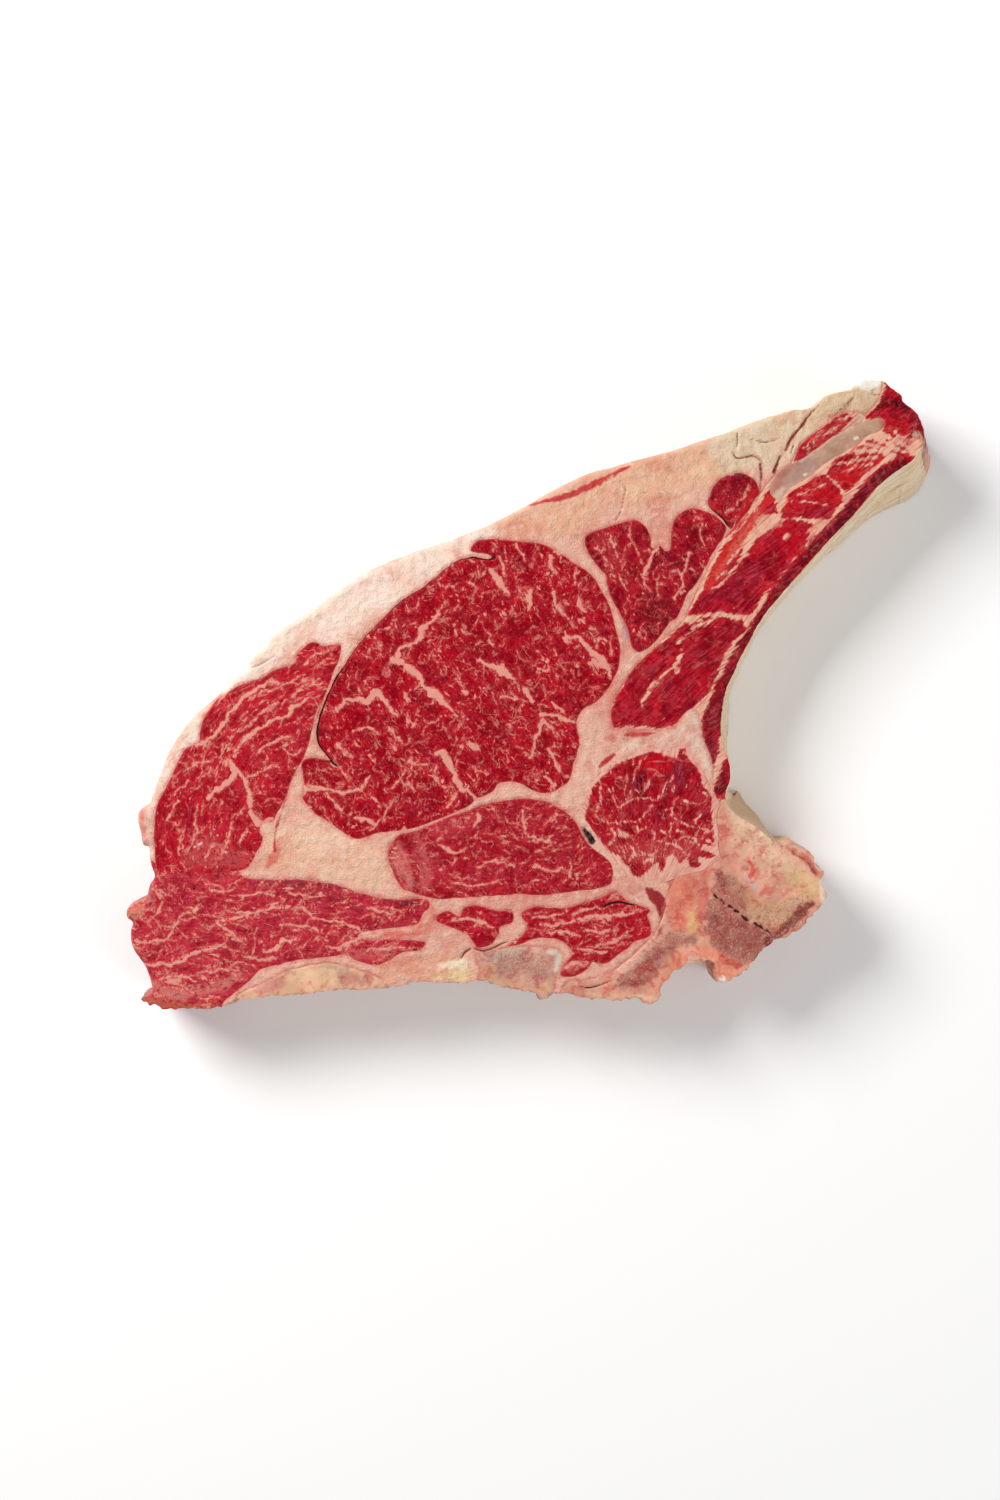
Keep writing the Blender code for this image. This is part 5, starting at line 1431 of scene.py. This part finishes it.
# ----------------------------------------
# The backbone: a vertebra sawn through, spongy and pink-grey where the marrow shows, with an
# arch over the canal on its left, a salmon and yellow zone inside it and fat on its outer side.
BACKBONE_OUTLINE = (
    (15, -110), (20, -109.8), (26, -108.6), (33, -105.3), (39, -100.5), (44, -95.8), (48, -91.5),
    (50.6, -86.5), (52.6, -80), (53.6, -74), (58, -69.6), (64, -67.6), (68.6, -65), (71.6, -61),
    (72.6, -54), (72, -47), (73.2, -42), (76, -36), (84, -34), (100, -44), (125, -62), (122, -92),
    (84, -118), (62, -98), (56, -124), (20, -124), (12, -116),
)
SALMON, MARROW_TAN, MARROW_RED = (226, 132, 108), (208, 158, 124), (184, 112, 96)
PEACH, YELLOW_FAT = (230, 176, 148), (232, 186, 126)
BACKBONE_DABS = (
    (PEACH, 1.0, 6, ((76, -46, 10), (86, -58, 18), (98, -66, 22), (106, -72, 14))),
    ((214, 132, 112), 0.6, 4, ((74, -50, 4), (75, -60, 5), (78, -66, 4))),
    ((222, 140, 118), 0.6, 2, ((86, -58, 4), (92, -64, 3), (98, -70, 4), (92, -72, 3))),
    ((236, 200, 164), 0.7, 2.5, ((80, -48, 4), (90, -60, 5), (100, -68, 5), (90, -56, 3))),
    (SALMON, 0.95, 5, ((60, -72, 10), (58, -80, 12), (60, -88, 8))),
    ((216, 112, 98), 0.8, 2, ((67, -68, 4), (67, -78, 4), (64, -90, 3))),
    (MARROW_RED, 1.0, 2.5, ((76, -74, 12), (76, -84, 17), (77, -94, 16))),
    (MARROW_RED, 1.0, 2, ((82, -100, 8), (88, -94, 12), (90, -90, 8))),
    ((156, 66, 62), 0.5, 2.5, ((74, -92, 5), (70, -88, 4), (80, -88, 5), (86, -92, 6), (82, -98, 5))),
    (MARROW_TAN, 1.0, 2.5, ((88, -82, 9), (96, -84, 10), (100, -82, 8))),
    ((200, 140, 112), 0.8, 2.5, ((78, -71, 6), (84, -77, 7))),
    ((160, 74, 70), 0.6, 1.6, ((73, -68.6, 3), (74.6, -71.6, 3))),
    ((188, 124, 108), 1.0, 2.5, ((36, -111, 6), (42, -106, 8), (48, -99, 9), (55, -95, 6), (62, -94, 4))),
    ((172, 52, 52), 0.6, 1.6, ((42, -107, 2.6), (46, -103, 3), (51, -98.6, 2.6))),
    ((164, 40, 42), 0.65, 1.6, ((32, -112.6, 2), (37, -110.6, 2.6), (45, -110, 3.4), (48, -106, 4))),
    ((226, 150, 130), 0.6, 1.6, ((48.6, -113, 2.4), (44, -116, 2), (36, -116, 2))),
    ((228, 176, 154), 0.9, 2, ((47.5, -80, 2.4), (50.8, -86, 2.6), (48.5, -93, 2.4), (44, -99, 2.4),
        (36, -105, 2.4), (26, -109, 2.4))),
    (YELLOW_FAT, 0.8, 2.4, ((62.6, -84.6, 3), (62.8, -89, 4.4))),
    ((236, 148, 120), 0.95, 1.5, ((52.4, -109, 3), (56, -103, 4.4), (62, -99.6, 4.6), (69, -98.6, 4.4),
        (74, -102, 6), (76, -106, 5))),
    ((206, 70, 60), 0.8, 1.2, ((73, -99, 2.2), (77, -102, 2.6), (80, -104, 2.2))),
    ((244, 180, 150), 0.7, 1, ((58, -103.4, 1.6), (64, -101.6, 1.8), (70, -101.4, 1.6))),
    ((202, 170, 172), 0.5, 1.2, ((80, -65.6, 1), (84, -70.8, 1.3), (88, -75, 1.4), (94, -78.2, 1.1))),
    ((134, 24, 32), 0.85, 1.2, ((91, -95.4, 1.6), (97, -90.4, 2), (103, -84.4, 2.2), (108.4, -80, 1.6))),
    ((226, 186, 132), 0.7, 3, ((103, -70, 8), (108, -75, 6))),
    ((244, 214, 190), 0.9, 1.4, ((112.6, -70, 3), (113.4, -75, 3.4), (113.4, -79, 2.4))),
    ((236, 206, 176), 0.85, 1.2, ((76.6, -38, 2), (79.4, -43.6, 2), (84.6, -47.6, 2), (90, -52.4, 2.2),
        (95, -56, 2))),
    ((170, 30, 32), 0.8, 0.8, ((51, -88, 1), (50, -91, 1.1), (48, -94.5, 0.7))),
    ((204, 62, 54), 0.8, 0.8, ((84, -63.6, 1.2), (86, -66.2, 1.6), (84.6, -69.4, 1))),
    ((200, 72, 62), 0.7, 0.7, ((74.4, -62.4, 1), (77.6, -60.6, 1.2))),
    ((206, 90, 74), 0.6, 0.8, ((91, -66, 1), (93.6, -69, 1.2), (96, -71, 0.9))),
    ((200, 96, 80), 0.75, 1.2, ((99, -58.5, 2.4), (106, -62, 3), (110, -66.5, 3), (112.4, -70, 2.4))),
    ((160, 52, 46), 0.8, 0.6, ((101, -60.4, 0.8), (106, -63.6, 1.2), (109.6, -68.4, 1))),
    ((240, 196, 172), 0.85, 0.8, ((101.4, -57.6, 1), (107, -61.4, 1.2), (111.6, -66.6, 1.2))),
    ((240, 226, 214), 0.95, 0.6, ((73.6, -108.6, 2.2), (74.6, -110, 2))),
    ((206, 166, 128), 0.8, 1.4, ((74.6, -41, 2.4), (76.6, -38.2, 2.6), (78.4, -36, 1.8))),
    ((228, 184, 152), 0.8, 1.2, ((52.8, -116.4, 2), (49, -117, 2), (41, -115.4, 2), (30, -115.6, 2),
        (20, -114, 2))),
)
BACKBONE_SPONGE = (
    (1.0, 2.5, ((76, -74, 12), (76, -84, 17), (77, -94, 16))),
    (1.0, 2, ((82, -100, 8), (88, -93, 14), (98, -86, 14), (104, -79, 6))),
    (0.9, 2, ((36, -111, 7), (42, -106, 9), (48, -99, 10), (55, -95, 7), (62, -94, 5))),
    (0.5, 4, ((86, -56, 12), (96, -66, 18))),
    (0.35, 5, ((60, -74, 14), (60, -86, 12))),
)
# Saw cuts in the bone: grooves painted near black as the shade in them.
SAW_CUT = (
    ((71, -76.9, 0.9), (72.6, -78.2, 0.5)), ((73.6, -78.6, 0.7), (75, -80.4, 0.4)),
    ((76.8, -81, 1.1), (78.2, -81.9, 0.6)), ((79, -82.8, 1.2), (80.4, -83.4, 0.8)),
    ((81.4, -84.6, 0.6), (83.2, -86.2, 1.3), (84, -86.6, 0.5)), ((86.6, -87.6, 1), (87.8, -88.6, 0.7)),
    ((88.6, -88.8, 1.1), (89.8, -89.9, 0.5)), ((91, -90.4, 0.8), (92.6, -91.5, 0.5)),
    ((19.3, -111.8, 0.3), (22.8, -112.4, 0.6), (27.2, -111.4, 0.5), (32.1, -109.6, 0.2)),
)
bone_piece("backbone", (BACKBONE_OUTLINE,), bone_pink, (222, 158, 134), BACKBONE_DABS,
           BACKBONE_SPONGE, SAW_CUT, cut_by=("rib_meat", "joint_muscle", "chine_muscle"), lumps=0.14,
           hollows=((62, -97, 3, 0.5), (84, -66, 3, 0.4)))

# ----------------------------------------
# The feather bone: the sawn lower end of the vertebra's spine, grey and dense at its edge, with
# white gristle at its right end. The gristle behind it is yellow and pink, cut into by the saw.
FEATHER_OUTLINE = (
    (-20.4, -99.9), (-13.3, -98.1), (-4.5, -96.9), (4.3, -96.8), (9.6, -97.4), (12.4, -99.5),
    (12.4, -102.5), (11.2, -106.1), (9.8, -110), (9, -114), (6, -122), (-20, -122), (-19.4, -110),
    (-18.8, -104.6),
)
FEATHER_DABS = (
    ((180, 126, 110), 0.6, 3, ((-10, -104, 8), (2, -103, 8))),
    ((200, 172, 154), 0.8, 1.5, ((-17, -100.6, 2.4), (-6, -98.4, 2.2), (5, -98.2, 2.2))),
    ((220, 202, 186), 0.95, 1.2, ((7.4, -98.4, 2.2), (10, -99.6, 2.6), (11, -102, 3), (10.2, -105.4, 2.4))),
    ((216, 164, 128), 0.8, 2, ((-16, -107, 6), (-10, -111, 4), (0, -112.6, 3), (8, -112, 3))),
)
bone_piece("feather_bone", (FEATHER_OUTLINE,), bone_pink, (204, 150, 132), FEATHER_DABS,
           ((1.0, 3, ((-12, -104, 10), (2, -103, 10))),),
           cut_by=("chine_muscle",), lumps=0.1)

GRISTLE_OUTLINE = (
    (-112, -124), (-112.4, -116.4), (-110, -114), (-104, -111.4), (-99, -108.9), (-94, -106.4),
    (-88.1, -104.7), (-82.3, -103.5), (-75.6, -103.2), (-69.8, -104.6), (-65.7, -105.5), (-60.6, -107.3),
    (-56.8, -109.6), (-55, -114), (-56, -124),
)
gristle_smooth = bone_material("gristle_smooth", 1.6, 0.25)
GRISTLE_DABS = (
    ((236, 194, 156), 0.9, 3, ((-90, -107.5, 6), (-82, -108, 8), (-75, -107.6, 7))),
    ((198, 134, 120), 0.85, 2.5, ((-70, -108.6, 6), (-62, -110, 5))),
    ((206, 132, 122), 0.8, 2.5, ((-104, -113, 4), (-97, -110, 5))),
    ((186, 160, 130), 0.6, 1, ((-94, -106.8, 1.4), (-82, -104.2, 1.4), (-70, -105.2, 1.4))),
)
bone_piece("back_gristle", (GRISTLE_OUTLINE,), gristle_smooth, (226, 176, 142), GRISTLE_DABS,
           ((0.6, 2, ((-70, -109, 7), (-60, -111, 6))),), cut_by=("back_muscle",), lumps=0.12)

# ----------------------------------------
# The fat: one body that wraps and parts all the muscles, from the thick white cap on the outer
# side to thin pink seams. It turns yellow towards the rib and peach round the backbone.
FAT_PITCH = 0.6


def fat_material():
    """Raw fat: tinted per point, with faint lobules, pink threads and small grains."""
    material, tree = new_material("fat_waxy")
    place, tint = attribute(tree, "grain", "Vector"), attribute(tree, "tint", "Color")
    line, gap = attribute(tree, "crack"), attribute(tree, "seam")
    drift = noise(place, 0.07, 4.0, 0.6)
    mottle = noise(place, 0.3, 4.0, 0.65)
    grit = noise(place, 1.3, 3.0, 0.6)
    lobules = add_node(tree, "TexVoronoi", {"feature": "SMOOTH_F1"}, Vector=place, Scale=0.28,
                       Smoothness=0.6)
    pinker = blend(1.0, tint, (246, 200, 186), "MULTIPLY")
    paler = blend(0.5, tint, (255, 240, 226))
    green = Value(add_node(tree, "SeparateColor", i0=tint).outputs[1])
    pale = step_up(green, 0.06, 0.3)             # blood is left dark
    colour = blend(step_up(drift, 0.5, 0.7, 0.0, 0.5), tint, pinker)
    colour = blend(step_up(mottle, 0.5, 0.74, 0.0, 0.65) * pale, colour, paler)
    colour = blend(step_up(mottle, 0.44, 0.26, 0.0, 0.55), colour, pinker)
    colour = blend(step_up(grit, 0.56, 0.72, 0.0, 0.45) * pale, colour, paler)
    rosy = step_up(noise(place, 0.1, 4.0, 0.65, 0.6), 0.54, 0.68, 0.0, 0.4)
    colour = blend(rosy * pale, colour, (222, 136, 112))
    thread = step_up(abs(noise(place, 0.16, 3.0, 0.6, 0.8) - 0.5), 0.02, 0.004)
    thread *= step_up(noise(place, 0.11), 0.5, 0.62, 0.0, 0.3)
    colour = blend(thread, colour, (206, 120, 104))
    rough_gap = (mottle - 0.5) * 3.0 + gap
    colour = blend(step_up(rough_gap, 1.5, 0.1, 0.0, 0.5), colour, (212, 108, 98))
    streak = step_up(noise(place, 0.8, 3.0, 0.6, 1.5), 0.55, 0.62, 0.0, 0.6)
    colour = blend(streak * step_up(gap, 2.2, 0.4), colour, (204, 80, 74))
    colour = blend(step_up(line, -0.12, 0.12, 0.0, 0.9), colour, (128, 62, 36))
    height = Value(lobules.outputs["Distance"]) * -0.3 + (mottle * 0.5 + grit * 0.22)
    return finish_material(material, colour, height, 0.9, 0.0022, mottle * 0.3 + 0.3, 0.35)


CREAM, YELLOW_CREAM = (247, 221, 204), (226, 200, 168)
PALE_PEACH, PINK_SEAM = (229, 175, 143), (224, 150, 132)
FAT_DABS = (
    (CREAM, 1.0, 9, ((-141, -60, 7), (-140, -40, 9), (-130, -18, 10), (-112, 6, 12), (-92, 25, 16),
        (-70, 37, 20), (-50, 46, 18), (-30, 56, 12), (-16, 63, 8))),
    ((250, 214, 200), 0.7, 5, ((-80, 22, 10), (-72, 16, 8))),
    (PALE_PEACH, 1.0, 7, ((-8, 65, 8), (8, 68, 12), (25, 76, 14), (42, 82, 16), (62, 88, 20),
        (76, 92, 22))),
    ((228, 170, 140), 0.7, 5, ((30, 74, 10), (50, 80, 14))),
    ((238, 196, 160), 0.6, 4, ((40, 78, 3), (50, 82, 5), (58, 79, 4))),
    ((240, 200, 164), 0.5, 3, ((66, 88, 5), (74, 86, 4))),
    (YELLOW_CREAM, 0.95, 7, ((76, 94, 18), (90, 98, 24), (104, 104, 20), (116, 110, 18))),
    ((226, 194, 156), 0.9, 4, ((112, 108, 14), (122, 113, 14), (132, 117, 14))),
    ((214, 190, 156), 0.8, 2, ((121, 108, 4), (126, 110, 7), (129, 114, 6))),
    ((218, 188, 154), 0.8, 3, ((120, 109, 5), (130, 112, 6))),
    # A near-white band along the upper edge at the rib's tip: painted highlight.
    ((255, 250, 238), 1.0, 1.6, ((127, 119.4, 3.4), (134, 119.8, 3.4))),
    ((234, 190, 160), 0.9, 6, ((-94, -58, 16), (-80, -60, 22), (-66, -64, 18), (-58, -70, 10))),
    ((240, 198, 172), 0.7, 4, ((-76, -58, 10), (-62, -62, 8))),
    ((214, 100, 88), 0.8, 1.6, ((-96, -55, 1.2), (-97, -60, 2.4), (-100, -65, 1))),
    (PINK_SEAM, 0.9, 5, ((34, 4, 8), (32, -6, 12), (40, -18, 12), (54, -18, 10), (64, -16, 8),
        (70, -24, 6))),
    ((230, 178, 156), 0.7, 3, ((26, -14, 8), (22, -30, 8), (20, -40, 5))),
    (PINK_SEAM, 0.85, 3, ((-20, -82, 10), (0, -79, 5), (24, -78, 4), (36, -73, 6), (42, -74, 4))),
    ((226, 160, 142), 0.8, 3, ((-38, -90, 8), (-26, -96, 8), (-10, -88, 5))),
    ((222, 150, 130), 0.9, 3, ((44, 58, 6), (50, 62, 8), (50, 70, 8))),
    ((204, 132, 122), 0.7, 2, ((30, 50, 3), (34, 38, 3), (37, 26, 3), (36, 14, 3))),
    ((186, 146, 168), 0.75, 1, ((37.2, 31, 1.4), (38, 26, 2.2), (37.4, 20, 1.4))),
    ((230, 164, 136), 0.9, 4, ((-56, -106, 6), (-40, -104, 9), (-26, -104, 8))),
    ((238, 206, 150), 0.8, 3, ((-34, -108, 3), (-26, -107, 4), (-18, -106, 3.4))),
    ((246, 226, 196), 0.85, 2, ((-38, -104.6, 2), (-30, -103.8, 2.4), (-22, -102.6, 2))),
    ((222, 116, 100), 0.7, 2.4, ((-40, -91, 3), (-37, -86, 3), (-38, -82, 2))),
    ((196, 150, 130), 0.7, 3, ((-110, -118, 4), (-116, -120, 4))),
    ((232, 168, 148), 0.8, 2.5, ((47, -80, 3), (49, -86, 3), (47.6, -92, 3), (42, -99, 4), (34, -104, 4),
        (25, -108, 4), (17, -110, 4))),
    ((198, 34, 38), 0.95, 0.6, ((0, 73.6, 0.8), (6, 74.4, 1.6), (12, 75.6, 2), (17, 77.4, 2.1),
        (22, 79.6, 2.1), (27, 82.2, 2), (33, 85.6, 1.8), (38, 88.2, 1.1))),
    ((196, 40, 40), 0.85, 0.6, ((27, 80.8, 0.7), (32, 84, 1.2), (37, 87.6, 0.9))),
    ((204, 120, 100), 0.7, 1, ((-12, 64, 0.8), (-2, 67, 1), (8, 69.6, 0.8))),
    ((186, 48, 40), 1.0, 0.4, ((-92.6, -35, 0.8), (-94.6, -43, 1), (-96.3, -48, 0.9), (-97.4, -52, 0.8),
        (-97.9, -57, 0.9), (-97.7, -60, 0.8))),
    ((190, 62, 44), 1.0, 0.4, ((-76.6, 3, 0.5), (-79.6, -3, 0.7), (-83.6, -12, 1), (-86, -20, 1),
        (-89, -27, 0.8), (-92.4, -34, 0.8))),
    ((190, 26, 34), 1.0, 0.5, ((27, -27.5, 0.8), (29.4, -25.2, 2.2), (32.4, -23, 0.9))),
    ((196, 34, 38), 1.0, 0.5, ((36.7, -15.4, 0.9), (42, -15.4, 1.5), (48.4, -14.6, 0.8))),
    ((134, 20, 26), 1.0, 0.6, ((88.6, 88.8, 1.2), (89, 84, 1.9), (88.4, 78, 1.4))),
    ((196, 118, 96), 0.7, 0.6, ((82, 91.4, 0.8), (87, 92, 1), (89.4, 88.8, 1.2))),
    ((170, 78, 44), 1.0, 0.5, ((110.8, 111, 0.8), (106.9, 106.8, 1.2), (103.9, 102.6, 1.3),
        (100.9, 99, 1.2), (98.4, 94, 1))),
    ((128, 30, 24), 1.0, 0.5, ((96.4, 92, 1), (95, 88.6, 1.3), (93.8, 85.4, 0.9))),
    ((176, 84, 60), 0.7, 0.5, ((124.3, 114, 0.7), (121.3, 110.4, 1), (118.9, 108, 0.9),
        (114.7, 106.2, 0.6))),
    ((224, 132, 122), 0.95, 1.5, ((-149, -45, 3), (-149, -50, 3), (-148.4, -56, 2))),
    ((226, 96, 88), 0.85, 1.6, ((-60, -91.4, 1.2), (-52, -91.6, 2.2), (-44, -91.4, 2.6), (-41.4, -86, 2))),
    ((156, 20, 30), 1.0, 0.8, ((45, -74.6, 2), (47.6, -77, 4.4), (50.4, -81, 4.2), (51.2, -86, 2))),
    ((170, 30, 40), 0.7, 1, ((50.6, -87.6, 1.2), (50, -91, 1.1), (48, -94.4, 0.7))),
    ((196, 60, 60), 0.6, 0.8, ((54, -70.6, 1), (55.4, -75, 1.4), (54.6, -79, 1))),
    ((234, 202, 182), 0.85, 4, ((36, -20, 4), (48, -18.6, 4), (58, -14.6, 5), (64, -10, 5), (66, -20, 6),
        (69, -28, 4))),
    ((206, 66, 56), 0.95, 1.2, ((71, -19, 0.8), (71.4, -24, 1.6), (73, -29, 1.4))),
    ((220, 124, 106), 0.6, 2, ((-57, -104, 2), (-50, -102.4, 3), (-44, -100, 2))),
    ((196, 84, 76), 0.7, 1.5, ((30, -75.4, 1.6), (37, -75.6, 2), (43, -77.6, 2.4))),
    ((206, 122, 108), 0.5, 3, ((61, -12, 3), (66, -14, 3))),
    ((206, 66, 62), 0.5, 1.6, ((30, -17, 2), (40, -14, 1.4), (56, -12.6, 1.4))),
)
FAT_LINES = (
    ((114, 106.6, 0.1), (118, 108.2, 0.3), (120.4, 110.4, 0.2), (123, 112.8, 0.3), (125, 114.6, 0.1)),
    ((131, 116, 0.2), (133, 115.2, 0.4), (135.4, 115.4, 0.2)),
    ((129.6, 117.6, 0.2), (131.4, 117, 0.5), (133.6, 117.6, 0.2)),
    ((35, 81.5, 0.1), (37, 80, 0.35), (36.7, 77, 0.3), (35.6, 72, 0.3), (34, 68, 0.25), (31, 66, 0.1)),
    ((78.4, 93, 0.3), (79.4, 91.2, 0.7), (82.3, 91.2, 0.6), (85.9, 91.8, 0.6), (88.9, 90, 0.4)),
    ((79.9, 100.8, 0.4), (80, 98, 0.5), (79.8, 95, 0.3)),
    ((84.7, 98.4, 0.3), (90, 97.2, 0.5), (95.5, 98, 0.3)),
    ((110.6, 110.6, 0.2), (106.9, 106.6, 0.6), (103.9, 102.4, 0.7), (101, 98.8, 0.5), (98.4, 94, 0.4)),
    ((96.2, 91.6, 0.5), (95, 88.4, 0.7), (93.9, 85.8, 0.3)), ((101.5, 96, 0.5), (100.5, 93, 0.4)),
    ((-26.8, -102, 0.3), (-24.8, -99, 0.9), (-22.4, -97.4, 0.6)),
    ((-21, -97.4, 0.7), (-17.7, -98.3, 0.9), (-14.2, -97.3, 0.8), (-10.7, -95.6, 0.7), (-8, -94.6, 0.4)),
    ((-89, -59, 0.5), (-88.6, -59, 0.6)), ((43, 78.4, 0.2), (44.4, 77.6, 0.4), (46, 77.8, 0.2)),
    ((-107.6, 10.2, 0.2), (-104, 11.4, 0.4), (-98, 14.6, 0.2)),
)
VESSEL = ((21.2, -51.8), (22.6, -53.8), (24, -56))    # the cut vessel under the eye, a hole painted near black as the shade in it
fat_holes = [loop for loops in piece_loops.values() for loop in loops]
fat_shape = thick_piece([rim[:, :2], *fat_holes], [{0}], FAT_PITCH, rim[:, :2])
fat_edges = find_tree(np.vstack(fat_holes))


def fat_look(flat, level):
    """The stored values of the fat's points."""
    # The vessel's hole gets a near-black dab: painted shade in the hole.
    dark = (*FAT_DABS, ((38, 14, 12), 1.0, 0.5, tuple((x, y, 2.3) for x, y in VESSEL)))
    deep = drifted(flat, level)
    return {"tint": wall_tone(deep, level, painted(deep, (230, 174, 152), dark)),
            "seam": nearest(fat_edges, flat)[0] + REACH * masked(flat, JOINT_TO_FAT),
            "grain": np.column_stack((deep, level * THICK)), "crack": stroke_depth(deep, FAT_LINES)}


def fat_relief(flat, values):
    """Soft lobes in the fat's cut face, cracks, and the hole of the cut vessel."""
    x, y = flat.T
    inner = 1 - np.exp(-values["seam"] / 1.5)
    lift = inner * (0.14 * ripple(x, y, 0, 3.2, 72) + 0.2 * ripple(x, y, 0, 8, 73))
    return lift - cut_marks(values, 0.7, 0.22) - dips(flat, [(*spot, 1.1, 1.6) for spot in VESSEL])


fat_waxy = fat_material()
finish_piece("fat", fat_shape, fat_waxy, ("fat",), fat_look, fat_relief)
